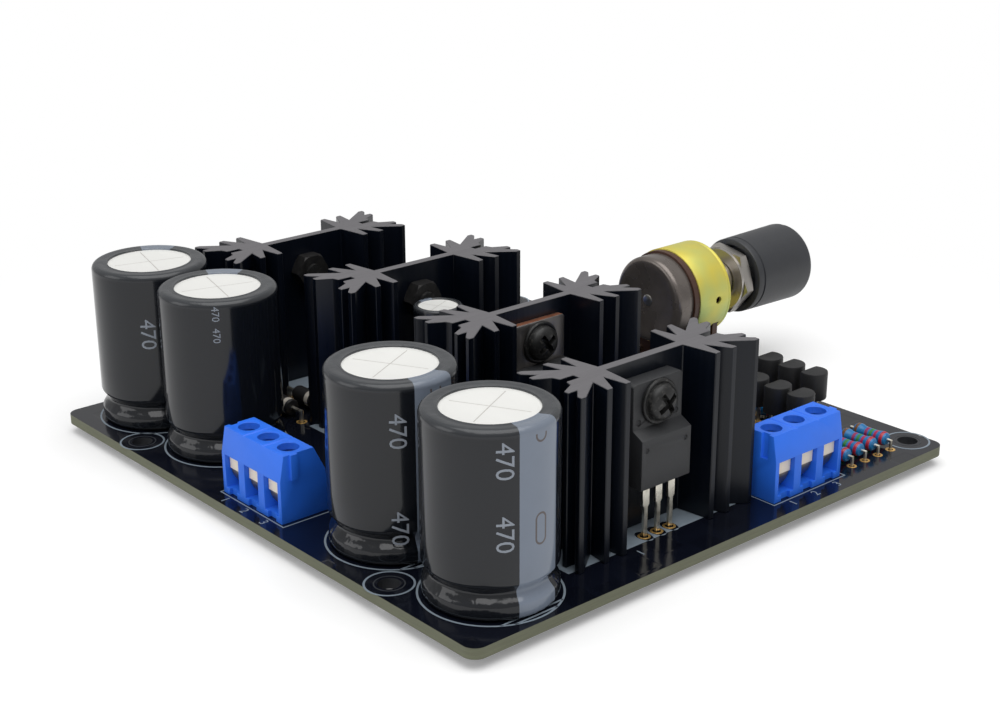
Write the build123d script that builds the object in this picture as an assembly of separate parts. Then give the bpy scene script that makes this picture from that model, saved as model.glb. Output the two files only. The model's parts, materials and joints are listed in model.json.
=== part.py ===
from build123d import *
import math
import os

# Audio preamplifier board with volume control, four regulators on heatsinks and screw terminals.
# Millimetres. The origin is the centre of the board's underside, +Z is up, and the knob points to -Y.
# Every component is drawn with z = 0 on the board's top face and lifted into place at the end.

# Circuit board
board_length = 105.0
board_width = 98.0
board_thickness = 1.6
board_corner_radius = 2.0
mounting_hole_radius = 1.6
mounting_hole_inset = 3.2
front_hole_edge_distance = 4.9

# Small round wires, their holes and the threads have few sides
wire_sides = 6
thread_sides = 8
hole_clearance = 0.12
lead_trim = 1.5
foot_trim = 1.7

# Reservoir capacitors along the back edge from the left: (x, y) of the axis and direction of the leads
capacitor_stations = [(-41.8, 36.9, 0), (-21.2, 36.9, 0), (23.6, 35.9, 90), (42.4, 36.9, 90)]
can_radius = 9.2
can_height = 26.35
can_edge_radius = 0.9
sleeve_wall = 0.25
sleeve_opening_share = 0.717
crimp_height = 3.7
crimp_half_width = 1.5
crimp_depth = 0.75
can_lead_pitch = 7.5
can_lead_radius = 0.4

# Small capacitor between the two middle heatsinks
small_capacitor_station = (7.0, 5.7, 0)
small_can_radius = 4.0
small_can_height = 20.7
small_can_edge_radius = 0.5
small_crimp_height = 2.2
small_crimp_half_width = 0.8
small_crimp_depth = 0.35
small_can_lead_pitch = 3.5
small_can_lead_radius = 0.3

# Heatsinks from the left: (x, y) of the centre and the turn that brings the regulator to its side;
# the web runs along Y and the regulator stands left of it when the turn is 0
heatsink_stations = [(-40.0, 7.8, 0), (-12.8, 3.8, 0), (15.3, 3.8, 180)]
last_heatsink_y = 8.5
last_heatsink_turn = 180
last_heatsink_diode_gap = 0.49
heatsink_height = 25.4
heatsink_length = 34.9
heatsink_depth = 12.7
web_thickness = 1.5
channel_width = 15.2
fin_tip = 1.0
channel_fin_lean = 0.7
second_fin_reach = 4.1
channel_notch_reach = 2.2
channel_notch_depth = 2.7
second_notch_reach = 4.6
second_notch_depth = 3.1
corner_fin_width = 0.9
corner_fin_drop = 0.8
corner_notch_reach = 1.6
end_fin_outer = 3.85
end_fin_inner = 3.0
pin_slot_lip_reach = 2.35
pin_slot_lip_width = 1.75
pin_slot_mouth_reach = 2.7
pin_slot_depth = 5.05
pin_radius = 0.6
pin_length_in_slot = 8.0

# Regulators, standing in the channel beside each web; the outer two are fully moulded
moulded_packages = [True, False, False, True]
lead_pitch = 2.54
package_bottom = 7.95
package_height = 15.1
moulded_width = 9.7
moulded_thickness = 4.6
moulded_tab_thickness = 2.7
moulded_tab_height = 6.7
moulded_step_height = 1.0
moulded_chamfer = 0.4
bare_width = 10.3
bare_tab_thickness = 1.3
bare_tab_chamfer = 0.3
bare_body_thickness = 4.5
bare_body_bevel_height = 0.5
bare_body_bevel_depth = 0.4
fixing_hole_drop = 3.35
lead_plane_offset = 3.2
lead_thickness = 0.5
lead_width = 0.75
lead_shoulder_width = 1.3
lead_shoulder_length = 3.4
lead_shoulder_slope = 0.4

# Regulator fixings, metric 3
screw_radius = 1.5
screw_clearance = 0.15
screw_head_radius = 3.3
screw_head_height = 2.1
screw_head_gap = 0.15
nut_across_flats = 5.5
nut_thickness = 2.4
screw_end_length = 0.5

# Screw terminals: (x, y, angle) of the middle of the front face, angle turns the front away from -Y
pole_count = 3
pole_pitch = 5.08
terminal_stations = {
    "supply": (0.3, 46.4, 180.0),
    "output": (-49.1, -19.1, -90.0),
    "input": (49.1, -19.1, 90.0),
}
terminal_depth = 8.4
terminal_height = 10.4
terminal_lip_height = 6.5
terminal_top_front = 0.75
terminal_top_back = 5.9
terminal_shoulder_depth = 7.8
terminal_shoulder_height = 6.6
screw_line_depth = 3.35
entry_width = 3.5
entry_sill = 1.0
entry_depth = 6.2
entry_height = 6.3
sill_notch_width = 2.0
sill_notch_depth = 0.5
entry_overlap = 0.1
key_width = 1.4
key_depth = 0.45
key_clearance = 0.2
key_position = 2.3
contact_block_width = 3.0
contact_block_height = 1.7
contact_block_depth = 4.3
contact_strip = 0.5
contact_strip_clearance = 0.05
contact_pin_width = 0.9
contact_pin_clearance = 0.2
contact_pin_shoulder = 0.1
clamp_screw_radius = 1.3
clamp_screw_fit = 0.06
clamp_head_radius = 1.75
clamp_head_fit = 0.15
clamp_head_height = 1.5
clamp_head_drop = 1.3
clamp_slot_width = 0.5
clamp_slot_depth = 0.7
clamp_screw_reach = 0.5
leaf_thickness = 0.25
leaf_width = 2.4
leaf_gap = 0.15
leaf_inset = 0.15
leaf_bend_reach = 1.6
leaf_tail_reach = 3.9
leaf_tail_drop = 2.2

# Volume potentiometer, axis along Y at the middle of the board
pot_axis_x = 0.4
pot_axis_height = 14.0
pot_front_overhang = -1.0
pot_case_radius = 8.2
pot_case_depth = 7.9
pot_case_wall = 0.5
pot_front_plate = 0.9
wafer_thickness = 1.2
wafer_radius = 7.6
rear_wafer_radius = 8.0
wafer_lug_width = 13.0
wafer_lug_lift = 1.0
wafer_slot_clearance = 0.2
wafer_front_inset = 1.6
wafer_bore_clearance = 0.3
rear_can_radius = 7.6
rear_can_depth = 3.6
rear_can_edge = 0.6
pot_pin_pitch = 5.0
pot_pin_width = 1.0
pot_pin_thickness = 0.4
pot_pin_top = 3.6
bushing_radius = 3.5
bushing_length = 8.4
pot_nut_across_flats = 11.0
pot_nut_thickness = 2.0
pot_nut_turn = -10.0
pot_nut_inset = 0.2
pot_washer_radius = 5.6
pot_washer_thickness = 0.6
shaft_radius = 3.0
shaft_fit = 0.05
rotor_radius = 5.6
rotor_sides = 24
rotor_thickness = 1.6
rotor_gap = 0.3

# Knob
knob_gap = 0.6
knob_length = 14.8
knob_back_radius = 6.75
knob_front_radius = 7.0
knob_front_edge = 1.0
knob_back_recess_radius = 5.6
knob_back_recess_depth = 2.2
knob_bore_depth = 10.5

# Axial parts: (x, y) of the left lead, bodies along +X
resistor_body_length = 6.2
resistor_body_sides = 10
resistor_end_radius = 1.15
resistor_waist_radius = 0.95
resistor_end_length = 1.4
resistor_lead_radius = 0.28
resistor_span = 7.62
resistor_lift = 0.3
edge_resistor_count = 4
edge_resistor_start = (-48.0, -31.1)
edge_resistor_pitch = 3.23
inner_resistor_stations = [(-31.6, -36.3), (-31.6, -38.9)]
diode_body_length = 5.2
diode_body_radius = 1.35
diode_lead_radius = 0.4
diode_span = 10.16
diode_lift = 0.4
diode_start = (22.9, 22.0)
diode_count = 4
diode_pitch = 4.6

# Transistors: (x, y) of the middle lead of the first one in each row, rows along +X
transistor_rows = [(-35.8, -33.0), (-31.0, -42.2)]
transistors_in_row = 3
transistor_pitch = 4.7
transistor_radius = 2.3
transistor_flat = 1.2
transistor_body_height = 4.7
transistor_lift = 3.5
transistor_lead_width = 0.45
transistor_lead_pitch = 1.27


def upright(radius, bottom, top, x=0.0, y=0.0):
    """Cylinder along Z between two heights."""
    solid = Cylinder(radius, top - bottom, align=(Align.CENTER, Align.CENTER, Align.MIN))
    return Pos(x, y, bottom) * solid


def block(size_x, size_y, bottom, top, x=0.0, y=0.0):
    """Box centred on (x, y) between two heights."""
    solid = Box(size_x, size_y, top - bottom, align=(Align.CENTER, Align.CENTER, Align.MIN))
    return Pos(x, y, bottom) * solid


def wire(radius, bottom, top, x, y):
    """Small round wire along Z between two heights, with few sides."""
    return Pos(x, y, bottom) * extrude(RegularPolygon(radius, wire_sides), top - bottom)


def turned(points):
    """Solid turned about Z from (radius, height) points."""
    return revolve(Plane.XZ * make_face(Polyline(*points, close=True)), Axis.Z)


def seated(solids):
    """Lift solids drawn from the board's top face into the part's frame."""
    return [Pos(0, 0, board_thickness) * solid for solid in solids]


def placed(solid, station):
    """Move a solid from its drawing place to its station, an (x, y, angle)."""
    x, y, angle = station
    return Pos(x, y, 0) * Rot(0, 0, angle) * solid


def spot(x, y, station):
    """Where a point of such a drawing comes to stand on the board."""
    marker = placed(Pos(x, y, 0) * Vertex(0, 0, 0), station).center()
    return (marker.X, marker.Y)


def write(node, solids):
    """Write one node as a STEP file."""
    export_step(Compound(children=seated(solids)), f"parts/{node}.step")


# Capacitors

def lead_pair(station, pitch):
    """Points where a capacitor's two leads go through the board."""
    return [spot(side * pitch / 2, 0, station) for side in (-1, 1)]


def can_lead_places():
    """Every (x, y, radius) of a capacitor's lead."""
    places = [
        (x, y, can_lead_radius)
        for station in capacitor_stations
        for x, y in lead_pair(station, can_lead_pitch)
    ]
    small = lead_pair(small_capacitor_station, small_can_lead_pitch)
    return places + [(x, y, small_can_lead_radius) for x, y in small]


def sleeved_can(radius, height, edge, crimp):
    """Sealed can in its shrink sleeve, crimped near the base, with the sleeve curled over the rim."""
    crimp_middle, crimp_half, depth = crimp
    opening = radius * sleeve_opening_share
    return turned([
        (0, 0),
        (radius, 0),
        (radius, crimp_middle - crimp_half),
        (radius - depth, crimp_middle),
        (radius, crimp_middle + crimp_half),
        (radius, height - edge),
        (radius - edge, height),
        (opening, height),
        (opening, height - sleeve_wall),
        (0, height - sleeve_wall),
    ])


def reservoir_capacitor(station):
    """One of the four large cans, standing on the board."""
    crimp = (crimp_height, crimp_half_width, crimp_depth)
    return placed(sleeved_can(can_radius, can_height, can_edge_radius, crimp), station)


def small_capacitor():
    """The small can between the middle heatsinks."""
    crimp = (small_crimp_height, small_crimp_half_width, small_crimp_depth)
    can = sleeved_can(small_can_radius, small_can_height, small_can_edge_radius, crimp)
    return placed(can, small_capacitor_station)


def capacitor_lead(x, y, radius):
    """Straight lead from the end seal to its trimmed end below the board."""
    return wire(radius, -board_thickness - foot_trim, 0, x, y)


# Heatsinks

def heatsink_quarter():
    """Outline of one quarter of the extrusion, u along the web and v across it."""
    end = heatsink_length / 2
    edge = heatsink_depth / 2
    face = web_thickness / 2
    channel = channel_width / 2
    first_fin = channel + channel_fin_lean
    second_fin = channel + second_fin_reach
    return [
        (0, 0),
        (0, face),
        (channel, face),
        (first_fin, edge),
        (first_fin + fin_tip, edge),
        (channel + channel_notch_reach, channel_notch_depth),
        (second_fin, edge),
        (second_fin + fin_tip, edge),
        (channel + second_notch_reach, second_notch_depth),
        (end - corner_fin_width, edge),
        (end, edge),
        (end, edge - corner_fin_drop),
        (end - corner_notch_reach, end_fin_outer),
        (end, end_fin_outer),
        (end, end_fin_inner),
        (end - pin_slot_lip_reach, pin_slot_lip_width),
        (end - pin_slot_mouth_reach, pin_radius),
        (end - pin_slot_depth, pin_radius),
        (end - pin_slot_depth, 0),
    ]


def heatsink_profile():
    """Whole extrusion profile: web, star of fins at each end and a slot for the solder pin."""
    quarter = make_face(Polyline(*heatsink_quarter(), close=True))
    half = quarter + mirror(quarter, Plane.XZ)
    return half + mirror(half, Plane.YZ)


def heatsink(station):
    """Extruded heatsink with the fixing hole of its regulator."""
    body = Rot(0, 0, 90) * extrude(heatsink_profile(), heatsink_height)
    hole = Rot(0, 90, 0) * Cylinder(screw_radius + screw_clearance, 2 * web_thickness)
    return placed(body - Pos(0, 0, fixing_height()) * hole, station)


def heatsink_pin_places():
    """Points where the heatsinks' solder pins go through the board."""
    reach = heatsink_length / 2 - pin_slot_depth + pin_radius * math.cos(math.pi / wire_sides)
    return [spot(0, side * reach, station) for station in all_heatsinks() for side in (-1, 1)]


def all_heatsinks():
    """Stations of the heatsinks, the last one clear of the diodes' right leads."""
    diode_end = diode_start[0] + diode_span + diode_lead_radius
    x = diode_end + last_heatsink_diode_gap + heatsink_depth / 2
    return heatsink_stations + [(x, last_heatsink_y, last_heatsink_turn)]


def heatsink_pin(x, y):
    """Solder pin pressed into the slot and through the board."""
    return wire(pin_radius, -board_thickness - foot_trim, pin_length_in_slot, x, y)


# Regulators, drawn at the origin on the left of a web that runs along Y

def package_top():
    """Height of the top of the regulators."""
    return package_bottom + package_height


def fixing_height():
    """Height of the regulators' fixing hole."""
    return package_top() - fixing_hole_drop


def side_profile(points, width):
    """Package drawn as (distance from the web, height) points and extruded across its width."""
    outline = [(-web_thickness / 2 - distance, height) for distance, height in points]
    face = Plane.XZ * make_face(Polyline(*outline, close=True))
    return extrude(face, width / 2, both=True)


def fixing_hole():
    """Cutter for the fixing hole of a regulator."""
    hole = Rot(0, 90, 0) * Cylinder(screw_radius + screw_clearance, 4 * moulded_thickness)
    return Pos(0, 0, fixing_height()) * hole


def moulded_package():
    """Fully moulded body: thin tab, sloped step and thick lower part."""
    step_top = package_top() - moulded_tab_height
    body = side_profile([
        (0, package_bottom),
        (moulded_thickness, package_bottom),
        (moulded_thickness, step_top - moulded_step_height),
        (moulded_tab_thickness, step_top),
        (moulded_tab_thickness, package_top()),
        (0, package_top()),
    ], moulded_width)
    body = chamfer(body.edges().filter_by(Axis.X).group_by(Axis.Z)[-1], moulded_chamfer)
    return body - fixing_hole()


def bare_package():
    """Body moulded onto the front of a bare metal tab, up to just below the screw's head."""
    top = fixing_height() - screw_head_radius - screw_head_gap
    return side_profile([
        (bare_tab_thickness, package_bottom),
        (bare_body_thickness, package_bottom),
        (bare_body_thickness, top - bare_body_bevel_height),
        (bare_body_thickness - bare_body_bevel_depth, top),
        (bare_tab_thickness, top),
    ], bare_width)


def bare_tab():
    """Metal tab behind the body, with its two chamfered upper corners."""
    tab = side_profile([
        (0, package_bottom),
        (bare_tab_thickness, package_bottom),
        (bare_tab_thickness, package_top()),
        (0, package_top()),
    ], bare_width)
    tab = chamfer(tab.edges().filter_by(Axis.X).group_by(Axis.Z)[-1], bare_tab_chamfer)
    return tab - fixing_hole()


def regulator_leads(station):
    """The three flat leads, wide near the body and narrow where they enter the board."""
    half_wide = lead_shoulder_width / 2
    half_narrow = lead_width / 2
    shoulder = package_bottom - lead_shoulder_length
    outline = [
        (-half_wide, package_bottom),
        (-half_wide, shoulder + lead_shoulder_slope),
        (-half_narrow, shoulder),
        (-half_narrow, -board_thickness - lead_trim),
        (half_narrow, -board_thickness - lead_trim),
        (half_narrow, shoulder),
        (half_wide, shoulder + lead_shoulder_slope),
        (half_wide, package_bottom),
    ]
    face = Plane.YZ * make_face(Polyline(*outline, close=True))
    lead = extrude(face, lead_thickness / 2, both=True)
    return [placed(Pos(-lead_reach(), k * lead_pitch, 0) * lead, station) for k in (-1, 0, 1)]


def lead_reach():
    """Distance of the leads' plane from the middle of the web."""
    return web_thickness / 2 + lead_plane_offset


def regulator_lead_places(station):
    """Points where one regulator's leads go through the board."""
    return [spot(-lead_reach(), k * lead_pitch, station) for k in (-1, 0, 1)]


# Regulator fixings, drawn along X with the head on the left

def lying(radius, start, length):
    """Cylinder along X from start, at the origin's height."""
    solid = Cylinder(radius, length, align=(Align.CENTER, Align.CENTER, Align.MIN))
    return Pos(start, 0, 0) * Rot(0, 90, 0) * solid


def fixing_screw(moulded):
    """Screw with a round head, through the tab, the web and the nut."""
    tab = moulded_tab_thickness if moulded else bare_tab_thickness
    seat = -web_thickness / 2 - tab
    end = web_thickness / 2 + nut_thickness + screw_end_length
    head = lying(screw_head_radius, seat - screw_head_height, screw_head_height)
    shank = extrude(RegularPolygon(screw_radius, thread_sides), end - seat)
    return Pos(0, 0, fixing_height()) * (head + Pos(seat, 0, 0) * Rot(0, 90, 0) * shank)


def fixing_nut():
    """Hexagon nut on the back of the web."""
    hexagon = RegularPolygon(nut_across_flats / 2, 6, major_radius=False)
    hexagon -= RegularPolygon(screw_radius, thread_sides)
    nut = Rot(0, 90, 0) * extrude(hexagon, nut_thickness)
    return Pos(web_thickness / 2, 0, fixing_height()) * nut


# Screw terminals, drawn with the front face in the plane y = 0, looking to -Y

def pole_offsets():
    """Positions of the poles along one terminal."""
    return [(k - (pole_count - 1) / 2) * pole_pitch for k in range(pole_count)]


def clamp_head_top():
    """Height of the top of the clamping screws."""
    return terminal_height - clamp_head_drop


def clamp_head_seat():
    """Height of the underside of the clamping screws' heads."""
    return clamp_head_top() - clamp_head_height


def contact_block_bottom():
    """Height of the underside of the threaded block."""
    return entry_height - contact_block_height


def terminal_blank():
    """Solid housing: upright front, sloped lip, flat top and stepped back."""
    outline = [
        (0, 0),
        (0, terminal_lip_height),
        (terminal_top_front, terminal_height),
        (terminal_top_back, terminal_height),
        (terminal_shoulder_depth, terminal_shoulder_height),
        (terminal_depth, 0),
    ]
    face = Plane.YZ * make_face(Polyline(*outline, close=True))
    return extrude(face, pole_count * pole_pitch / 2, both=True)


def pole_cut(offset):
    """What one pole cuts out: screw well, wire entry, sill notch and the pin's slot."""
    top = terminal_height + 1
    well = clamp_head_radius + clamp_head_fit
    sill = entry_sill + entry_overlap
    pin_width = contact_pin_width + contact_pin_clearance
    pin_depth = contact_strip + contact_pin_clearance
    cut = upright(well, entry_height - entry_overlap, top, offset, screw_line_depth)
    cut += block(entry_width, entry_depth, entry_sill, entry_height, offset, entry_depth / 2)
    cut += block(sill_notch_width, 2 * sill_notch_depth, -1, sill, offset, 0)
    return cut + block(pin_width, pin_depth, -1, sill, offset, contact_pin_depth())


def terminal_housing(station):
    """Moulded housing with screw wells, wire entries, notched sills and a key and slot above the lip."""
    housing = terminal_blank()
    for offset in pole_offsets():
        housing -= pole_cut(offset)
    end = pole_count * pole_pitch / 2
    low = terminal_lip_height
    housing -= block(2 * key_depth, key_width, low, terminal_height + 1, -end, key_position)
    key = block(key_depth, key_width - key_clearance, low, terminal_height, end + key_depth / 2, key_position)
    return placed(housing + key, station)


def contact_pin_depth():
    """Distance of the contact's strip from the front face."""
    return entry_depth - contact_strip_clearance - contact_strip / 2


def terminal_contact(station, offset):
    """Threaded block with the strip that runs down its back and out as the solder pin."""
    pin_y = contact_pin_depth()
    back = pin_y + contact_strip / 2
    front = back - contact_block_depth - contact_strip
    bottom = contact_block_bottom()
    top = entry_height - contact_strip_clearance
    body = block(contact_block_width, back - front, bottom, top, offset, (front + back) / 2)
    bore = RegularPolygon(clamp_screw_radius + clamp_screw_fit, thread_sides, major_radius=False)
    body -= Pos(offset, screw_line_depth, bottom) * extrude(bore, top - bottom)
    foot = entry_sill + contact_pin_shoulder
    strip = block(contact_block_width, contact_strip, foot, bottom, offset, pin_y)
    pin = block(contact_pin_width, contact_strip, -board_thickness - lead_trim, foot, offset, pin_y)
    return placed(body + strip + pin, station)


def clamp_screw(station, offset):
    """Slotted clamping screw, its tip just below the threaded block."""
    top = clamp_head_top()
    head = upright(clamp_head_radius, clamp_head_seat(), top)
    head -= block(2 * clamp_head_radius + 1, clamp_slot_width, top - clamp_slot_depth, top + 1)
    tip = contact_block_bottom() - clamp_screw_reach
    shank = extrude(RegularPolygon(clamp_screw_radius, thread_sides), clamp_head_seat() - tip)
    return placed(Pos(offset, screw_line_depth, 0) * (head + Pos(0, 0, tip) * shank), station)


def pressure_leaf(station, offset):
    """Springy leaf hung on the front of the block and bent back and down under the screw."""
    front = contact_pin_depth() + contact_strip / 2 - contact_block_depth - contact_strip
    start = front + leaf_inset
    top = contact_block_bottom()
    low = top - clamp_screw_reach - leaf_gap - leaf_thickness
    outline = [
        (start, top),
        (start, low),
        (start + leaf_bend_reach, low),
        (start + leaf_tail_reach, low - leaf_tail_drop),
        (start + leaf_tail_reach, low - leaf_tail_drop + leaf_thickness),
        (start + leaf_bend_reach, low + leaf_thickness),
        (start + leaf_thickness, low + leaf_thickness),
        (start + leaf_thickness, top),
    ]
    solid = extrude(Plane.YZ * make_face(Polyline(*outline, close=True)), leaf_width / 2, both=True)
    return placed(Pos(offset, 0, 0) * solid, station)


def terminal_pin_places():
    """Points where the terminals' pins go through the board."""
    return [
        spot(offset, contact_pin_depth(), station)
        for station in terminal_stations.values()
        for offset in pole_offsets()
    ]


# Potentiometer, drawn along +Y from the front plate and seated on its axis

def pot_front_y():
    """Y of the front plate's outer face."""
    return -board_width / 2 - pot_front_overhang


def on_axis(solid):
    """Turn a solid drawn along Z so that Z points into the board, and put it on the axis."""
    return Pos(pot_axis_x, pot_front_y(), pot_axis_height) * Rot(-90, 0, 0) * solid


def ring(radius, start, length, bore=0.0):
    """Disc or ring along the potentiometer's axis; start counts from the front plate's face."""
    solid = upright(radius, start, start + length)
    if bore:
        solid -= upright(bore, start - 1, start + length + 1)
    return on_axis(solid)


def wafer_starts():
    """Distances behind the front face of the wafer in the case and the one on its rim."""
    return [wafer_front_inset, pot_case_depth]


def pot_case():
    """Plated tube behind the front plate, slotted below for the lug of the front wafer."""
    bore = pot_case_radius - pot_case_wall
    case = ring(pot_case_radius, pot_front_plate, pot_case_depth - pot_front_plate, bore)
    slot_y = pot_front_y() + wafer_front_inset + wafer_thickness / 2
    slot_width = wafer_lug_width + 2 * wafer_slot_clearance
    slot_length = wafer_thickness + 2 * wafer_slot_clearance
    return case - block(slot_width, slot_length, 0, pot_axis_height, pot_axis_x, slot_y)


def pot_wafer(start, radius):
    """Phenolic wafer with the lug that carries its pins down to the board."""
    disc = ring(radius, start, wafer_thickness, shaft_radius + wafer_bore_clearance)
    y = pot_front_y() + start + wafer_thickness / 2
    lug_top = pot_axis_height - math.sqrt(radius ** 2 - (wafer_lug_width / 2) ** 2)
    return disc + block(wafer_lug_width, wafer_thickness, wafer_lug_lift, lug_top, pot_axis_x, y)


def pot_pin_places():
    """Points where the potentiometer's pins go through the board."""
    places = []
    for start in wafer_starts():
        y = pot_front_y() + start + wafer_thickness + pot_pin_thickness / 2
        places += [(pot_axis_x + k * pot_pin_pitch, y) for k in (-1, 0, 1)]
    return places


def pot_pin(x, y):
    """Flat pin riveted to the back of the wafer's lug."""
    return block(pot_pin_width, pot_pin_thickness, -board_thickness - lead_trim, pot_pin_top, x, y)


def rear_can():
    """Rear can, closed at the back and open to the rear wafer."""
    start = wafer_starts()[1] + wafer_thickness
    end = start + rear_can_depth
    wall = pot_case_wall
    can = turned([
        (rear_can_radius, start),
        (rear_can_radius, end - rear_can_edge),
        (rear_can_radius - rear_can_edge, end),
        (0, end),
        (0, end - wall),
        (rear_can_radius - wall, end - wall),
        (rear_can_radius - wall, start),
    ])
    return on_axis(can)


def pot_bushing():
    """Threaded bushing cast in one piece with the front plate."""
    bore = shaft_radius + shaft_fit
    return on_axis(turned([
        (bore, -bushing_length),
        (bushing_radius, -bushing_length),
        (bushing_radius, 0),
        (pot_case_radius, 0),
        (pot_case_radius, pot_front_plate),
        (bore, pot_front_plate),
    ]))


def pot_nut_start():
    """Distance of the nut's back face in front of the front plate."""
    return bushing_length - pot_nut_inset - pot_nut_thickness


def pot_washer():
    """Washer on the bushing, against the back of the nut."""
    return ring(pot_washer_radius, -pot_nut_start(), pot_washer_thickness, bushing_radius)


def pot_nut():
    """Hexagon nut near the bushing's end, where it waits for a front panel."""
    nut = extrude(RegularPolygon(pot_nut_across_flats / 2, 6, major_radius=False), pot_nut_thickness)
    nut -= upright(bushing_radius, -1, pot_nut_thickness + 1)
    return on_axis(Pos(0, 0, -pot_nut_start() - pot_nut_thickness) * Rot(0, 0, pot_nut_turn) * nut)


def shaft_inner_end():
    """Distance of the shaft's inner end behind the front face."""
    return wafer_starts()[1] + wafer_thickness + rotor_gap + rotor_thickness


def pot_shaft():
    """Round shaft from the rear gang to inside the knob."""
    front = -bushing_length - knob_gap - knob_bore_depth
    return ring(shaft_radius, front, shaft_inner_end() - front)


def pot_rotor(start):
    """Many-sided plate that carries the wipers of one gang on the shaft."""
    plate = extrude(RegularPolygon(rotor_radius, rotor_sides), rotor_thickness)
    plate -= upright(shaft_radius, -1, rotor_thickness + 1)
    return on_axis(Pos(0, 0, start) * plate)


def knob():
    """Slightly flared knob, recessed at the back and bored for the shaft."""
    body = turned([
        (shaft_radius, knob_back_recess_depth),
        (knob_back_recess_radius, knob_back_recess_depth),
        (knob_back_recess_radius, 0),
        (knob_back_radius, 0),
        (knob_front_radius, knob_length - knob_front_edge),
        (knob_front_radius - knob_front_edge, knob_length),
        (0, knob_length),
        (0, knob_bore_depth),
        (shaft_radius, knob_bore_depth),
    ])
    back_y = pot_front_y() - bushing_length - knob_gap
    return Pos(pot_axis_x, back_y, pot_axis_height) * Rot(90, 0, 0) * body


# Axial parts and transistors

def axial_lead(radius, span, body_length, height, lift_side):
    """Lead that runs out of the body and turns down through the board."""
    start = lift_side * body_length / 2
    end = lift_side * span / 2
    path = Polyline((start, 0, height), (end, 0, height), (end, 0, -board_thickness - lead_trim))
    section = Plane(origin=(start, 0, height), z_dir=(lift_side, 0, 0)) * RegularPolygon(radius, wire_sides)
    return sweep(section, path=path, transition=Transition.RIGHT)


def resistor_body():
    """Lacquered body with two thicker ends, lying along X at the origin."""
    half_waist = resistor_body_length / 2 - resistor_end_length
    waist = extrude(RegularPolygon(resistor_waist_radius, resistor_body_sides), half_waist, both=True)
    end = extrude(RegularPolygon(resistor_end_radius, resistor_body_sides), resistor_end_length)
    body = waist + Pos(0, 0, half_waist) * end
    body += Pos(0, 0, -half_waist - resistor_end_length) * end
    return Rot(0, 90, 0) * body


def resistor_stations():
    """Left lead of each resistor."""
    x, y = edge_resistor_start
    edge = [(x, y - k * edge_resistor_pitch) for k in range(edge_resistor_count)]
    return edge + inner_resistor_stations


def resistor_height():
    """Height of the resistors' axis."""
    return resistor_end_radius + resistor_lift


def diode_stations():
    """Left lead of each diode."""
    x, y = diode_start
    return [(x, y - k * diode_pitch) for k in range(diode_count)]


def diode_height():
    """Height of the diodes' axis."""
    return diode_body_radius + diode_lift


def diode_body():
    """Moulded round body, lying along X at the origin."""
    return Rot(0, 90, 0) * Cylinder(diode_body_radius, diode_body_length)


def transistor_places():
    """Middle lead of each transistor."""
    return [(x + k * transistor_pitch, y) for x, y in transistor_rows for k in range(transistors_in_row)]


def transistor_body(x, y):
    """Round-backed body with its flat side to the right."""
    width = 2 * transistor_radius
    cut = Pos(transistor_flat + transistor_radius, 0) * Rectangle(width, 2 * width)
    body = extrude(Circle(transistor_radius) - cut, transistor_body_height)
    return Pos(x, y, transistor_lift) * body


def transistor_lead_places():
    """Points where the transistors' leads go through the board."""
    return [(x, y + k * transistor_lead_pitch) for x, y in transistor_places() for k in (-1, 0, 1)]


# Board

def lead_holes():
    """Every (x, y, lead half size) that needs a hole in the board."""
    holes = can_lead_places()
    holes += [(x, y, pin_radius) for x, y in heatsink_pin_places()]
    lead_corner = math.hypot(lead_width, lead_thickness) / 2
    for station in all_heatsinks():
        holes += [(x, y, lead_corner) for x, y in regulator_lead_places(station)]
    contact_corner = math.hypot(contact_pin_width, contact_strip) / 2
    holes += [(x, y, contact_corner) for x, y in terminal_pin_places()]
    pin_corner = math.hypot(pot_pin_width, pot_pin_thickness) / 2
    holes += [(x, y, pin_corner) for x, y in pot_pin_places()]
    for x, y in resistor_stations():
        holes += [(x, y, resistor_lead_radius), (x + resistor_span, y, resistor_lead_radius)]
    for x, y in diode_stations():
        holes += [(x, y, diode_lead_radius), (x + diode_span, y, diode_lead_radius)]
    transistor_corner = transistor_lead_width * math.sqrt(0.5)
    holes += [(x, y, transistor_corner) for x, y in transistor_lead_places()]
    return holes


def mounting_hole_places():
    """Two holes at the front corners and two between the capacitors at the back."""
    front_x = board_length / 2 - front_hole_edge_distance
    edge_y = board_width / 2 - mounting_hole_inset
    left_x = (capacitor_stations[0][0] + capacitor_stations[1][0]) / 2
    right_x = (capacitor_stations[2][0] + capacitor_stations[3][0]) / 2
    return [(-front_x, -edge_y), (front_x, -edge_y), (left_x, edge_y), (right_x, edge_y)]


def circuit_board():
    """Board with rounded corners, mounting holes and lead holes."""
    face = RectangleRounded(board_length, board_width, board_corner_radius)
    for x, y in mounting_hole_places():
        face -= Pos(x, y) * Circle(mounting_hole_radius)
    for x, y, half_size in lead_holes():
        face -= Pos(x, y) * RegularPolygon(half_size + hole_clearance, wire_sides, major_radius=False)
    return Pos(0, 0, -board_thickness) * extrude(face, board_thickness)


# Nodes

def write_board_and_capacitors():
    write("circuit_board", [circuit_board()])
    for number, station in enumerate(capacitor_stations, 1):
        write(f"capacitor_{number}", [reservoir_capacitor(station)])
    write("small_capacitor", [small_capacitor()])
    write("capacitor_leads", [capacitor_lead(x, y, radius) for x, y, radius in can_lead_places()])


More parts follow.
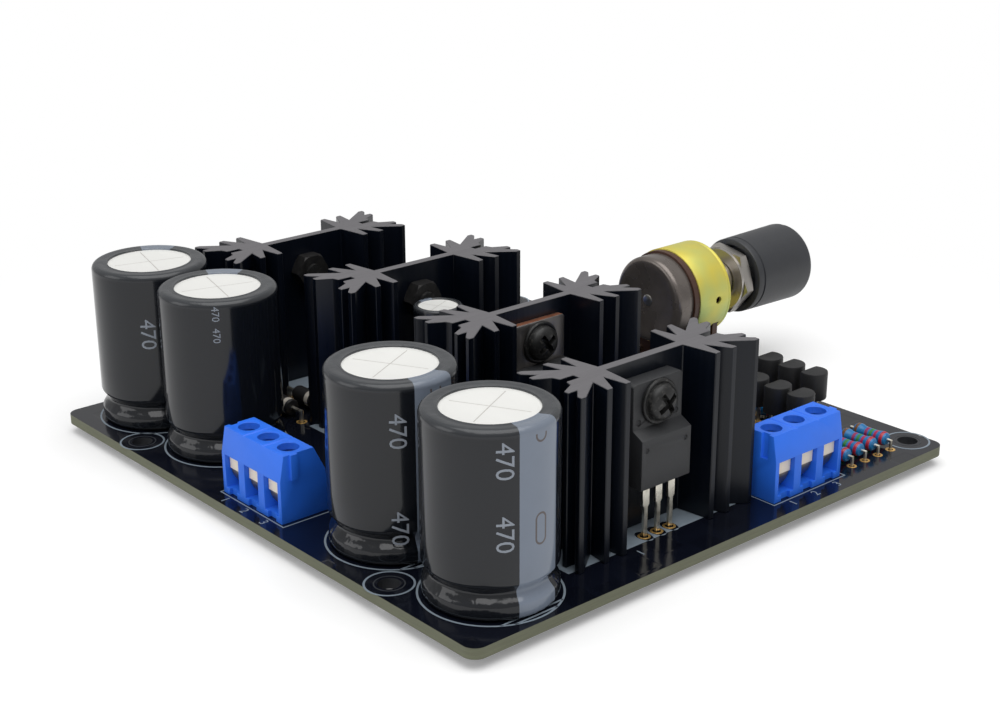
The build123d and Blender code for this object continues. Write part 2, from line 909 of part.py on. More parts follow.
def write_heatsinks_and_regulators():
    screws = []
    nuts = []
    for number, (station, moulded) in enumerate(zip(all_heatsinks(), moulded_packages), 1):
        write(f"heatsink_{number}", [heatsink(station)])
        package = moulded_package() if moulded else bare_package()
        write(f"regulator_body_{number}", [placed(package, station)])
        write(f"regulator_leads_{number}", regulator_leads(station))
        if not moulded:
            write(f"regulator_tab_{number}", [placed(bare_tab(), station)])
        screws.append(placed(fixing_screw(moulded), station))
        nuts.append(placed(fixing_nut(), station))
    write("heatsink_pins", [heatsink_pin(x, y) for x, y in heatsink_pin_places()])
    write("regulator_screws", screws)
    write("regulator_nuts", nuts)


def write_terminals():
    contacts = []
    leaves = []
    for name, station in terminal_stations.items():
        write(f"{name}_terminal_housing", [terminal_housing(station)])
        for number, offset in enumerate(pole_offsets(), 1):
            write(f"{name}_terminal_screw_{number}", [clamp_screw(station, offset)])
            contacts.append(terminal_contact(station, offset))
            leaves.append(pressure_leaf(station, offset))
    write("terminal_contacts", contacts)
    write("terminal_leaves", leaves)


def write_potentiometer():
    write("pot_case", [pot_case()])
    inner, outer = wafer_starts()
    write("pot_wafers", [pot_wafer(inner, wafer_radius), pot_wafer(outer, rear_wafer_radius)])
    write("pot_pins", [pot_pin(x, y) for x, y in pot_pin_places()])
    write("pot_rear_can", [rear_can()])
    write("pot_bushing", [pot_bushing()])
    write("pot_washer", [pot_washer()])
    write("pot_nut", [pot_nut()])
    write("pot_shaft", [pot_shaft()])
    write("pot_rotors", [pot_rotor(start + wafer_thickness + rotor_gap) for start in wafer_starts()])
    write("volume_knob", [knob()])


def write_resistors():
    middles = [(x + resistor_span / 2, y) for x, y in resistor_stations()]
    height = resistor_height()
    write("resistor_bodies", [Pos(x, y, height) * resistor_body() for x, y in middles])
    leads = [
        axial_lead(resistor_lead_radius, resistor_span, resistor_body_length, height, side)
        for side in (-1, 1)
    ]
    write("resistor_leads", [Pos(x, y, 0) * lead for x, y in middles for lead in leads])


def write_diodes():
    middles = [(x + diode_span / 2, y) for x, y in diode_stations()]
    height = diode_height()
    write("diode_bodies", [Pos(x, y, height) * diode_body() for x, y in middles])
    leads = [axial_lead(diode_lead_radius, diode_span, diode_body_length, height, side) for side in (-1, 1)]
    write("diode_leads", [Pos(x, y, 0) * lead for x, y in middles for lead in leads])


def write_transistors():
    write("transistor_bodies", [transistor_body(x, y) for x, y in transistor_places()])
    bottom = -board_thickness - lead_trim
    width = transistor_lead_width
    leads = [block(width, width, bottom, transistor_lift, x, y) for x, y in transistor_lead_places()]
    write("transistor_leads", leads)


os.makedirs("parts", exist_ok=True)
write_board_and_capacitors()
write_heatsinks_and_regulators()
write_terminals()
write_potentiometer()
write_resistors()
write_diodes()
write_transistors()
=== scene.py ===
import json
import math

import bmesh
import bpy
from mathutils import Matrix, Vector


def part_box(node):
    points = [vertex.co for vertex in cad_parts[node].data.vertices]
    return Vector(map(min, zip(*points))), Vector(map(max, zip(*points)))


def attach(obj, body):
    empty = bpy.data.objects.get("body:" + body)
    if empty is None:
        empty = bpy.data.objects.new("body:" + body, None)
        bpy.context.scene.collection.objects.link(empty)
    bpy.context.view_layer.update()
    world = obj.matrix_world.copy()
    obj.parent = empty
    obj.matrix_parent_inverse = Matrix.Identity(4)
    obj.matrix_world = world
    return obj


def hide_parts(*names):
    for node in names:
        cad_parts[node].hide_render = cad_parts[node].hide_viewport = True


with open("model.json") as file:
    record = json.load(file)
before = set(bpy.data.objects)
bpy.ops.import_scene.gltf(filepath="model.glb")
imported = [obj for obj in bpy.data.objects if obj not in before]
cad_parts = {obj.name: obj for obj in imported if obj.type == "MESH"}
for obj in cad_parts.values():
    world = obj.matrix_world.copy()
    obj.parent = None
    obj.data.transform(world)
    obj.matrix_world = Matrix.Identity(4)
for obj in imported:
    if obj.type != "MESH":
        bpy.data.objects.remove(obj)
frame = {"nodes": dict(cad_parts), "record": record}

bl_info = {
    "name": "Audio preamplifier board",
    "version": (1, 0, 0),
    "blender": (4, 5, 0),
    "location": "3D View > Sidebar > Preamplifier",
    "description": "Dresses the packed preamplifier board with detailed parts, finishes and a studio",
    "category": "Object",
}

MM = 0.001
# Vertices closer than this are one, and points this near in height are level
WELD = 1e-6
LEVEL = 1e-5
FINE_EDGE = 0.05 * MM
# Turn of a unit piece whose axis is laid along X
ALONG_X = (0.0, math.pi / 2, 0.0)
# The Geometry Nodes trees, which main builds
TREES = {}
NODES = frame["nodes"]
BOARD_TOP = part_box("circuit_board")[1].z
BOARD_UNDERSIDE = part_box("circuit_board")[0].z
TERMINALS = ("supply", "output", "input")
POLES = (1, 2, 3)
NUMBERS = (1, 2, 3, 4)
LARGE_CANS = [f"capacitor_{number}" for number in NUMBERS]
LEFT_CANS = (1, 2)
WIRE_NODES = (
    "capacitor_leads", "heatsink_pins", "pot_pins", "resistor_leads", "diode_leads", "transistor_leads",
)
LEAD_NODES = (*WIRE_NODES, "terminal_contacts", *(f"regulator_leads_{number}" for number in NUMBERS))

# Forms of the sleeves in millimetres: height, half height and depth of the waist and rounding of the
# shoulder. The opening is a share of the radius.
SLEEVE_FORMS = {
    "large": {"waist": 3.75, "half": 1.7, "depth": 1.0, "rim": 0.95, "opening": 0.72},
    "small": {"waist": 2.2, "half": 1.0, "depth": 0.35, "rim": 0.5, "opening": 0.80},
}
# Turn of each large sleeve, in degrees
SLEEVE_TURNS = (3.0, 3.0, 140.0, 140.0)
# For each large sleeve, the side that its digits face in degrees, and the height above the board of
# each row in millimetres with the size of its digits
DIGIT_ROWS = (
    (150, ((12.4, "digit_size"), (22.3, "digit_size"))),
    (147, ((5.8, "digit_size"), (19.9, "digit_size"))),
    (145, ((21.2, "small_digit_size"), (24.6, "small_digit_size"))),
    (144, ((16.7, "digit_size"),)),
)


def size(name, text, default, **options):
    """Length property in metres, given here in millimetres."""
    return bpy.props.FloatProperty(
        name=name, description=text, default=default * MM, unit="LENGTH", precision=5, **options
    )


def colour(name, text, default):
    """Linear colour property."""
    return bpy.props.FloatVectorProperty(
        name=name, description=text, default=default, subtype="COLOR", size=3, min=0, max=1
    )


def amount(name, text, default, **options):
    """Plain number property."""
    return bpy.props.FloatProperty(name=name, description=text, default=default, **options)


def fraction(name, text, default):
    """Property for a share from 0 to 1."""
    return amount(name, text, default, subtype="FACTOR", min=0, max=1)


def rotation(name, text, degrees):
    """Angle property, given here in degrees."""
    return amount(name, text, math.radians(degrees), subtype="ANGLE")


def vector(name, text, default, **options):
    """Property of three numbers, such as a place in metres."""
    return bpy.props.FloatVectorProperty(
        name=name, description=text, default=default, size=3, precision=5, **options
    )


class BoardSizes(bpy.types.PropertyGroup):
    mask: colour("Solder mask", "Colour of the lacquer on both faces", (0.0035, 0.0045, 0.009))
    laminate: colour("Laminate", "Colour of the cut edge", (0.135, 0.142, 0.09))
    ink: colour("Ink", "Colour of the printed marks", (0.23, 0.28, 0.33))
    line_width: size("Line width", "Width of the printed lines", 0.3)
    ink_height: size("Ink height", "Thickness of the printed ink", 0.02)
    ring_gap: size("Ring gap", "From a capacitor's sleeve to the middle of its ring", 0.52)
    hole_ring: size("Hole ring", "Radius of the rings at the mounting holes", 3.4)
    hole_rim: size("Hole rim", "Radius of the fine dark rings round the mounting holes", 2.1)
    hole_rim_width: size("Hole rim width", "Width of the fine dark rings", 0.2)
    rim_ink: colour("Rim ink", "Colour of the fine dark rings", (0.03, 0.034, 0.04))
    hatch_pitch: size("Hatch pitch", "Distance between the hatch lines beside the capacitors", 0.9)
    hatch_start: fraction("Hatch start", "First hatch line, as a share of the ring's radius", 0.78)
    outline_margin: size("Outline margin", "From a terminal's housing to its printed outline", 0.35)
    footprint_half_width: size("Footprint", "Half width of the inked fields under the heatsinks", 5.3)
    footprint_margin: size("Footprint margin", "How far those fields pass the heatsinks' ends", 0.9)
    clearance_in_row: size("Clearance in row", "Half the bare oval round a regulator's lead", 1.05)
    clearance_off_row: size("Clearance off row", "The same, square to the row of leads", 1.6)
    digit_size: size("Digits", "Height of the printed digits", 2.1)
    digit_gap: size("Digit gap", "From a side terminal to the middle of its digits", 1.6)
    back_digit_gap: size("Back digit gap", "The same at the back edge's terminal", 1.5)
    number_gap: size("Number gap", "From a heatsink's inked field to its number", 2.0)
    number_shift: size("Number shift", "From a regulator's last lead to that number, along the row", 4.0)


class SolderSizes(bpy.types.PropertyGroup):
    pad_ring: size("Pad ring", "Width of the plated ring round a hole", 0.34)
    pad_height: size("Pad height", "Thickness of the plated ring", 0.03)
    joint_spread: size("Joint spread", "From the lead's side to the edge of its joint", 0.65)
    joint_height: size("Joint height", "Height of a soldered joint", 0.95)
    hole_gap: size("Hole gap", "From a lead to the inner edge of its pad", 0.16)
    most_room: size("Most room", "Widest room that one lead's pad may take", 2.0)
    spacing: size("Spacing", "Half the least bare strip between two pads or joints", 0.04)


class CapacitorSizes(bpy.types.PropertyGroup):
    sleeve: colour("Sleeve", "Colour of the shrink film", (0.0065, 0.008, 0.0115))
    stripe: colour("Stripe", "Colour of the printed stripe", (0.19, 0.225, 0.285))
    stripe_half_angle: rotation("Stripe angle", "Half the angle that the stripe covers", 20.5)
    ink: colour("Ink", "Colour of the plain digits", (0.27, 0.30, 0.35))
    digits: bpy.props.StringProperty(name="Digits", description="Digits on the sleeves", default="470")
    digit_size: size("Digit size", "Height of the plain digits", 3.4)
    small_digit_size: size("Small digit size", "Height of the small plain digits", 1.6)
    digit_slice: size("Digit slice", "Width of the flat slices that bend the digits round the sleeve", 0.35)
    digit_lift: size("Digit lift", "From the sleeve to its digits", 0.025)
    mark_pitch: size("Mark pitch", "Distance between the stripe's oval marks", 14.0)
    mark_start: fraction("Mark start", "Shift of those marks, as a share of their pitch", 0.627)
    mark_half_length: size("Mark half length", "Half the straight part of a mark", 1.3)
    mark_radius: size("Mark radius", "Radius of a mark's round ends", 0.82)
    mark_half_line: size("Mark line", "Half the width of a mark's line", 0.14)


class HeatsinkSizes(bpy.types.PropertyGroup):
    edge: size("Edge", "Rounding of the extrusion's edges", 0.12)
    coat: colour("Coat", "Colour of the black anodised coat", (0.0015, 0.003, 0.007))
    cut: colour("Cut", "Colour of the sawn ends", (0.135, 0.130, 0.138))


class RegulatorSizes(bpy.types.PropertyGroup):
    edge: size("Edge", "Rounding of the moulded edges", 0.14)
    shank: size("Shank", "Radius of the fixing screws", 1.5)
    head_height: size("Head", "Height of the fixing screws' heads", 2.1)
    nut_flats: size("Nut", "Width of the nuts across flats", 5.5)
    flange: size("Flange", "Thickness of the screws' flange", 0.55)
    dome_share: fraction("Dome", "Radius of the screw's dome as a share of its flange", 0.81)
    recess: size("Recess", "Half length of the cross recess", 1.75)
    recess_width: size("Recess width", "Width of each arm of the recess", 0.85)
    recess_depth: size("Recess depth", "Depth of the recess in the dome's middle", 1.1)
    recess_turn: rotation("Recess turn", "Turn of the cross", 35)
    lead_edge: size("Lead edge", "Rounding of the leads", 0.06)
    tab_edge: size("Tab edge", "Rounding of the bare tabs", 0.1)
    thread_pitch: size("Thread pitch", "Pitch of the fixing screws", 0.5)


class TerminalSizes(bpy.types.PropertyGroup):
    edge: size("Edge", "Rounding of the housing's edges", 0.1)
    blue: colour("Blue", "Colour of the housings", (0.022, 0.175, 0.90))
    groove: size("Groove", "Width of the grooves between the poles", 0.28)
    head_height: size("Head", "Height of the clamping screws' heads", 1.5)
    slot_width: size("Slot width", "Width of their slots", 0.5)
    slot_depth: size("Slot depth", "Depth of their slots", 0.7)
    shank: size("Shank", "Radius of the clamping screws' threads", 1.3)
    thread_pitch: size("Thread pitch", "Pitch of the clamping screws", 0.45)
    plate_height: size("Plate", "Height of the contacts' front plates", 2.25)
    plate_width: size("Plate width", "Width of the contacts' front plates", 3.3)
    plate_setback: size("Plate setback", "From the housing's front to the plates", 0.75)
    guide_width: size("Guide", "Width of the leaf that hangs from each front plate", 2.7)
    guide_drop: size("Guide drop", "Height of that leaf", 2.6)
    guide_reach: size("Guide reach", "How far that leaf bends back at its foot", 1.4)
    guide_thickness: size("Guide thickness", "Thickness of that leaf", 0.12)
    well: size("Well", "Radius that the mouths' outsides take up in their wells", 1.93)
    collar: size("Collar", "Radius of the mouths that keep the screws in their wells", 1.6)
    collar_depth: size("Collar depth", "Height of those mouths", 1.1)
    plate_thickness: size("Plate thickness", "Thickness of the contacts' front plates", 0.14)


class PotSizes(bpy.types.PropertyGroup):
    edge: size("Edge", "Rounding of the case's edges", 0.1)
    zinc: colour("Zinc", "Yellow plating of the case", (0.80, 0.68, 0.11))
    bushing_radius: size("Bushing", "Radius over the bushing's thread", 3.5)
    bushing_bore: size("Bushing bore", "Radius of the bushing's bore", 3.06)
    plate: size("Plate", "Thickness of the case's front plate", 0.9)
    hole: size("Hole", "Radius of the round holes in the case", 0.65)
    hole_setback: size("Hole setback", "From the case's front to the middle of those holes", 2.5)
    can_wall: size("Can wall", "Thickness of the rear can", 0.5)
    can_bend: size("Can bend", "Rounding of the rear can's edge", 0.9)
    thread_pitch: size("Thread pitch", "Pitch of the bushing's thread", 0.75)
    rivet: size("Rivet", "Radius of the rivet in the rear can", 1.0)


class KnobSizes(bpy.types.PropertyGroup):
    body: colour("Knob", "Colour of the satin knob", (0.034, 0.036, 0.041))
    front_edge: size("Front edge", "Rounding of the front", 1.3)
    pointer_width: size("Pointer", "Width of the pointer line", 0.8)
    pointer_start: size("Pointer start", "From the axis to the pointer's inner end", 1.6)
    bore: size("Bore", "Radius of the shaft's hole", 3.0)
    bore_depth: size("Bore depth", "Depth of the shaft's hole from the knob's back", 10.5)
    recess_depth: size("Recess depth", "Depth of the hollow in the back", 2.2)
    wall: size("Wall", "From the front's radius to that hollow", 1.4)
    taper: size("Taper", "How much wider the front is than the back", 0.25)


class SmallPartSizes(bpy.types.PropertyGroup):
    lacquer: colour("Lacquer", "Colour of the resistors", (0.01, 0.17, 0.42))
    transistor_edge: size("Transistor edge", "Rounding of the transistors", 0.22)
    band_width: size("Band", "Width of the diodes' band", 1.0)
    band_place: size("Band place", "From a diode's middle to its band", 1.5)
    ring_half_width: size("Ring", "Half the width of a resistor's ring", 0.27)


class StageSizes(bpy.types.PropertyGroup):
    focal_length: amount("Focal length", "Of the camera, in millimetres", 60.83, unit="CAMERA")
    camera_place: vector("Camera", "Place of the camera", (-0.19213, 0.16613, 0.10677), unit="LENGTH")
    camera_forward: vector(
        "Camera direction", "Where it looks", (0.70822, -0.61692, -0.34329), subtype="DIRECTION"
    )
    camera_roll: rotation("Camera roll", "Its turn about that", -0.1673)
    lamp_power: amount("Lamp", "Power of the soft lamp overhead, in watts", 3.4, unit="POWER")
    lamp_place: vector("Lamp place", "Place of that lamp", (-0.12, 0.05, 0.6), unit="LENGTH")
    lamp_side: size("Lamp side", "Length of its sides", 700)
    side_power: amount("Side lamp", "Power of the soft lamp at the back, in watts", 0.55, unit="POWER")
    side_place: vector("Side lamp place", "Place of that lamp", (0.25, 0.55, 0.25), unit="LENGTH")
    side_side: size("Side lamp side", "Length of its sides", 350)
    sky: amount("Sky", "Strength of the surroundings as light", 0.4)
    gloss: amount("Gloss", "Strength of the surroundings in reflections", 0.5)
    floor_glow: amount("Floor glow", "White that the floor adds for the camera", 0.2)
    shadow_start: size("Shadow start", "Distance from the middle where the floor starts to turn plain", 80)
    shadow_end: size("Shadow end", "Distance from the middle where the floor is plain white", 140)
    floor_side: size("Floor", "Length of the floor's sides", 6000)


class Value:
    """A socket of a node tree that Python's operators work on."""

    def __init__(self, graph, socket):
        self.graph = graph
        self.socket = socket

    def math(self, operation, *others):
        """One Math node with this value first."""
        return self.graph.node("ShaderNodeMath", {"operation": operation}, [self, *others])

    def swapped(self, operation, other):
        """One Math node with this value second."""
        return self.graph.node("ShaderNodeMath", {"operation": operation}, [other, self])

    def __add__(self, other):
        return self.math("ADD", other)

    def __sub__(self, other):
        return self.math("SUBTRACT", other)

    def __rsub__(self, other):
        return self.swapped("SUBTRACT", other)

    def __mul__(self, other):
        return self.math("MULTIPLY", other)

    def __truediv__(self, other):
        return self.math("DIVIDE", other)

    def __lt__(self, other):
        return self.math("LESS_THAN", other)

    def __gt__(self, other):
        return self.math("GREATER_THAN", other)

    def __abs__(self):
        return self.math("ABSOLUTE")


class Graph:
    """A node tree built from expressions."""

    def __init__(self, tree):
        self.tree = tree

    def node(self, kind, settings=None, sockets=(), output=0):
        """Add a node: settings first, then a value or a link for each socket; gives one output."""
        made = self.tree.nodes.new(kind)
        for name, setting in (settings or {}).items():
            if name == "stops":
                self.set_stops(made.color_ramp, setting)
            else:
                setattr(made, name, setting)
        pairs = sockets.items() if isinstance(sockets, dict) else enumerate(sockets)
        for key, given in pairs:
            if isinstance(given, Value):
                self.tree.links.new(given.socket, made.inputs[key])
            else:
                made.inputs[key].default_value = given
        return Value(self, made.outputs[output]) if made.outputs else made

    def set_stops(self, ramp, stops):
        """Colours of a ramp from (position, colour) pairs."""
        while len(ramp.elements) < len(stops):
            ramp.elements.new(1.0)
        for element, (position, shade) in zip(ramp.elements, stops):
            element.position = position
            element.color = (*shade, 1.0)


class Paint(Graph):
    """A procedural material."""

    def __init__(self, name):
        self.material = bpy.data.materials.new(name)
        self.material.use_nodes = True
        super().__init__(self.material.node_tree)
        self.tree.nodes.clear()
        self.place = self.node("ShaderNodeTexCoord", output="Object")
        self.x, self.y, self.z = self.parts(self.place)

    def parts(self, vector):
        """The three numbers of a vector."""
        split = self.node("ShaderNodeSeparateXYZ", sockets=[vector]).socket.node
        return [Value(self, socket) for socket in split.outputs]

    def uv(self):
        """The piece's own UV map."""
        return self.parts(self.node("ShaderNodeTexCoord", output="UV"))[:2]

    def along(self):
        """The piece's own attribute with the distance from its middle."""
        settings = {"attribute_type": "GEOMETRY", "attribute_name": "along"}
        return self.node("ShaderNodeAttribute", settings, output="Fac")

    def stretched(self, x, y, z):
        """Object coordinates scaled along each axis."""
        return self.node(
            "ShaderNodeMapping", {"vector_type": "POINT"}, {"Vector": self.place, "Scale": (x, y, z)}
        )

    def noise(self, scale, detail=3.0, vector=None):
        """Noise from 0 to 1, with scale in features per metre."""
        return self.node(
            "ShaderNodeTexNoise", {}, {"Vector": vector or self.place, "Scale": scale, "Detail": detail}
        )

    def ramp(self, value, low, high):
        """Value spread from 0 at low to 1 at high, clamped."""
        return self.node("ShaderNodeMapRange", {"clamp": True}, [value, low, high, 0.0, 1.0])

    def mix(self, factor, first, second):
        """Colour between two colours."""
        sockets = {0: factor, 6: self.flat(first), 7: self.flat(second)}
        return self.node("ShaderNodeMix", {"data_type": "RGBA"}, sockets, output=2)

    def flat(self, shade):
        """A colour with its opaque fourth channel, or a link as it is."""
        return shade if isinstance(shade, Value) else (*shade[:3], 1.0)

    def speckled(self, shade, spread, scale):
        """Colour that varies a little in brightness."""
        return self.shaded(self.noise(scale), shade, 1 - spread, 1 + spread)

    def shaded(self, pattern, shade, low, high):
        """Colour whose brightness follows a pattern, from one share to another."""
        dark, light = [[min(1.0, channel * share) for channel in shade] for share in (low, high)]
        return self.mix(pattern, dark, light)

    def grained(self, pattern, low, high, roughness, spread, metallic=0.0, depth=0.0):
        """Finish whose colour, roughness and relief all follow one pattern."""
        base = self.mix(pattern, low, high)
        relief = pattern if depth else None
        return self.surface(base, pattern * spread + roughness, metallic, relief=relief, depth=depth)

    def surface(self, base, roughness, metallic=0.0, relief=None, depth=0.0, **constants):
        """Finish the material with one surface shader and give it back."""
        sockets = {"Base Color": self.flat(base), "Roughness": roughness, "Metallic": metallic}
        sockets.update({name.replace("_", " "): value for name, value in constants.items()})
        if relief is not None:
            bump = {"Height": relief, "Distance": depth * MM, "Strength": 1.0}
            sockets["Normal"] = self.node("ShaderNodeBump", {}, bump)
        shader = self.node("ShaderNodeBsdfPrincipled", {}, sockets)
        self.node("ShaderNodeOutputMaterial", {}, {"Surface": shader})
        return self.material


# Finishes

def board_finish(sizes):
    """Glossy lacquer with faint tracks under it on both faces, bare laminate on the outer cut edges and
    painted shade on the walls of the holes.
    """
    paint = Paint("board_lacquer_and_laminate")
    middle = (BOARD_TOP + BOARD_UNDERSIDE) / 2
    half = (BOARD_TOP - BOARD_UNDERSIDE) / 2
    skin, rim = 0.01 * MM, 1.5 * MM
    # The walls of the holes are painted near black: painted shade inside the holes.
    shaded_hole_wall = (0.018, 0.02, 0.024)
    gloss, cut_roughness = 0.09, 0.62
    face = abs(paint.z - middle) > half - skin
    cells = paint.node(
        "ShaderNodeTexVoronoi", {"distance": "CHEBYCHEV"}, {"Vector": paint.place, "Scale": 150.0}
    )
    tracks = paint.ramp(cells, 0.30, 0.34)
    lacquer = paint.shaded(tracks * 0.35, sizes.mask, 1.0, 1.8)
    layers = paint.noise(900.0, 2.0, paint.stretched(0.25, 0.25, 6.0))
    edge = paint.shaded(layers, sizes.laminate, 0.72, 1.3)
    low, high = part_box("circuit_board")
    outer = (abs(paint.x) - high.x).math("MAXIMUM", abs(paint.y) - high.y) > -rim
    base = paint.mix(face, paint.mix(outer, shaded_hole_wall, edge), lacquer)
    smear = paint.noise(60.0)
    roughness = face * (smear * 0.08 + gloss - cut_roughness) + cut_roughness
    relief = tracks * 0.7 + paint.noise(250.0) * 0.3
    return paint.surface(base, roughness, relief=relief, depth=0.02)


def ink_finish(name, shade):
    """Matt printed ink with a few thin spots."""
    paint = Paint(name)
    base = paint.speckled(shade, 0.14, 1400.0)
    return paint.surface(base, paint.noise(800.0) * 0.2 + 0.45)


def gold_finish():
    """Gold-plated copper ring."""
    paint = Paint("gold_plated_pad")
    base = paint.speckled((0.90, 0.56, 0.18), 0.12, 1500.0)
    return paint.surface(base, paint.noise(900.0) * 0.2 + 0.3, 0.7)


def solder_finish():
    """Bright solder with soft ripples."""
    paint = Paint("bright_solder")
    dark, light = (0.52, 0.52, 0.53), (0.78, 0.78, 0.79)
    return paint.grained(paint.noise(2200.0), dark, light, 0.15, 0.25, 1.0, 0.05)


def tinned_finish():
    """Tinned lead, drawn along its length, with darker flux stains."""
    paint = Paint("tinned_lead")
    tin, flux = (0.83, 0.80, 0.70), (0.50, 0.47, 0.38)
    drawn = paint.noise(1500.0, 2.0, paint.stretched(1.0, 1.0, 0.12))
    base = paint.mix(paint.ramp(paint.noise(700.0), 0.45, 0.75), tin, flux)
    return paint.surface(base, drawn * 0.25 + 0.18, 1.0, relief=drawn, depth=0.02)


def sleeve_finish(name, sizes, girth, height, foot_share):
    """Glossy shrink film with a pale stripe, its oval marks, a wrinkled shoulder paled by a painted
    reflection and a folded foot.
    """
    paint = Paint(name)
    shoulder_start = 0.955
    mark_ink, shoulder_reflection = (0.10, 0.085, 0.085), (0.14, 0.15, 0.16)
    around, along = paint.uv()
    arc = (around - 0.5) * girth
    climb = along * height
    half_stripe = girth * sizes.stripe_half_angle / (2 * math.pi)
    stripe = abs(arc) < half_stripe
    turn = (climb / sizes.mark_pitch + sizes.mark_start).math("FRACT") - 0.5
    tall = (abs(turn * sizes.mark_pitch) - sizes.mark_half_length).math("MAXIMUM", 0.0)
    spread = (arc * arc + tall * tall).math("SQRT")
    mark = abs(spread - sizes.mark_radius) < sizes.mark_half_line
    film = paint.speckled(sizes.sleeve, 0.12, 120.0)
    pale = paint.speckled(sizes.stripe, 0.05, 300.0)
    marked = paint.mix(mark * (along < shoulder_start), pale, mark_ink)
    shoulder = paint.ramp(along, shoulder_start, 1.0)
    # Painted reflection: the film is blended a quarter of the way to pale grey over the shoulder.
    base = paint.mix(shoulder * 0.25, paint.mix(stripe, film, marked), shoulder_reflection)
    wrinkle = paint.noise(420.0, 2.0)
    foot = paint.ramp(along, foot_share * 1.3, foot_share * 0.7)
    fold = paint.noise(520.0, 2.0, paint.stretched(1.0, 1.0, 0.3))
    relief = shoulder * wrinkle + foot * fold * 1.6 + paint.noise(60.0, 1.0) * 0.3
    roughness = shoulder * 0.16 + paint.noise(90.0) * 0.06 + 0.09
    return paint.surface(base, roughness, relief=relief, depth=0.12)


def can_end_finish(name):
    """Bare aluminium end, rolled, with its crossed vent score, painted darker as painted shade in the
    groove.
    """
    paint = Paint(name)
    bright, bottom = (0.95, 0.948, 0.915), (0.66, 0.64, 0.60)
    score_turn, half_width, reach = math.radians(25), 0.006, 0.42
    u, v = [share - 0.5 for share in paint.uv()]
    across = abs(u * math.cos(score_turn) + v * math.sin(score_turn))
    down = abs(v * math.cos(score_turn) - u * math.sin(score_turn))
    cross = across.math("MINIMUM", down) < half_width
    inside = across.math("MAXIMUM", down) < reach
    score = cross * inside
    rolled = paint.noise(500.0, 2.0, paint.stretched(0.15, 1.0, 1.0))
    # The score is painted darker than the metal: painted shade in its groove.
    base = paint.mix(score, paint.speckled(bright, 0.03, 200.0), bottom)
    return paint.surface(base, rolled * 0.1 + 0.38, 0.35, relief=rolled - score * 3.0, depth=0.03)


def anodised_finish(sizes, cut_height):
    """Black anodised extrusion: fine die lines up its sides, grey sawn ends and a few nicks."""
    paint = Paint("anodised_heatsink")
    bare = (0.55, 0.55, 0.55)
    die = paint.noise(1600.0, 2.0, paint.stretched(1.0, 1.0, 0.02))
    saw = paint.noise(1200.0, 2.0, paint.stretched(1.0, 0.06, 1.0))
    cut = paint.z > cut_height
    chip = paint.node("ShaderNodeTexVoronoi", {}, {"Vector": paint.stretched(1, 1, 0.35), "Scale": 170.0})
    nick = (chip < 0.06) * (paint.noise(90.0) > 0.58)
    coat = paint.shaded(die, sizes.coat, 0.8, 1.5)
    sawn = paint.shaded(saw, sizes.cut, 0.88, 1.15)
    base = paint.mix(nick * 0.8, paint.mix(cut, coat, sawn), bare)
    roughness = die * 0.1 + cut * 0.2 + 0.25
    relief = die + cut * (saw - die)
    return paint.surface(base, roughness, relief=relief, depth=0.02, Specular_IOR_Level=0.35)


def moulding_finish(name, brightness):
    """Matt black moulding compound, with its brightness given as a share."""
    paint = Paint(name)
    dark, light = [
        [channel * brightness for channel in shade]
        for shade in ((0.018, 0.019, 0.021), (0.031, 0.032, 0.035))
    ]
    return paint.grained(paint.noise(4200.0, 2.0), dark, light, 0.45, 0.15, depth=0.02)


def tab_finish(number, middle, half):
    """Tinned metal tab with bare copper where it was sheared."""
    paint = Paint(f"metal_tab_{number}")
    sheared = abs(paint.x - middle) < half
    rolled = paint.noise(1400.0, 2.0, paint.stretched(1.0, 1.0, 0.1))
    tin = paint.mix(rolled, (0.16, 0.15, 0.145), (0.26, 0.245, 0.235))
    copper = paint.mix(rolled, (0.55, 0.20, 0.11), (0.72, 0.33, 0.20))
    base = paint.mix(sheared, tin, copper)
    return paint.surface(base, rolled * 0.2 + 0.3, 0.9, relief=rolled, depth=0.02)


def black_screw_finish():
    """Blackened steel with worn high spots."""
    paint = Paint("blackened_screw")
    black, worn = (0.018, 0.018, 0.018), (0.075, 0.073, 0.068)
    wear = paint.ramp(paint.noise(1800.0), 0.55, 0.75)
    return paint.grained(wear, black, worn, 0.42, -0.12, 0.3, 0.015)


def dull_nut_finish():
    """Steel nut, dulled and dark."""
    paint = Paint("dull_nut")
    dark, light = (0.022, 0.022, 0.024), (0.060, 0.058, 0.056)
    return paint.grained(paint.noise(1500.0), dark, light, 0.38, 0.2, 0.8, 0.01)


def bright_screw_finish():
    """Plated steel."""
    paint = Paint("plated_screw")
    dark, light = (0.42, 0.41, 0.39), (0.60, 0.59, 0.56)
    return paint.grained(paint.noise(1500.0), dark, light, 0.25, 0.2, 1.0, 0.01)


def housing_finish(shade):
    """Blue moulded plastic, satin, with a soft flow pattern."""
    paint = Paint("terminal_moulding")
    base = paint.shaded(paint.noise(320.0), shade, 0.92, 1.06)
    grain = paint.noise(3000.0, 2.0)
    return paint.surface(base, grain * 0.1 + 0.42, relief=grain, depth=0.008)


def contact_finish():
    """Tinned brass block, its pale tin colour raised to near white as painted light, so that it looks lit
    in the shaded wire entries.
    """
    paint = Paint("terminal_contact")
    # Both colours are near white: partly the pale tin and partly a painted reflection, brighter than tin
    # would be under the lamps.
    dark, light = (0.98, 0.84, 0.66), (1.0, 0.92, 0.77)
    stroke = paint.noise(1300.0, 2.0, paint.stretched(1.0, 1.0, 0.25))
    return paint.grained(stroke, dark, light, 0.42, 0.15, 0.1, 0.02)


def leaf_finish(name):
    """Spring steel, dark from rolling."""
    paint = Paint(name)
    dark, light = (0.16, 0.14, 0.12), (0.34, 0.31, 0.27)
    rolled = paint.noise(1100.0, 2.0, paint.stretched(0.2, 0.2, 1.0))
    return paint.grained(rolled, dark, light, 0.28, 0.2, 1.0)


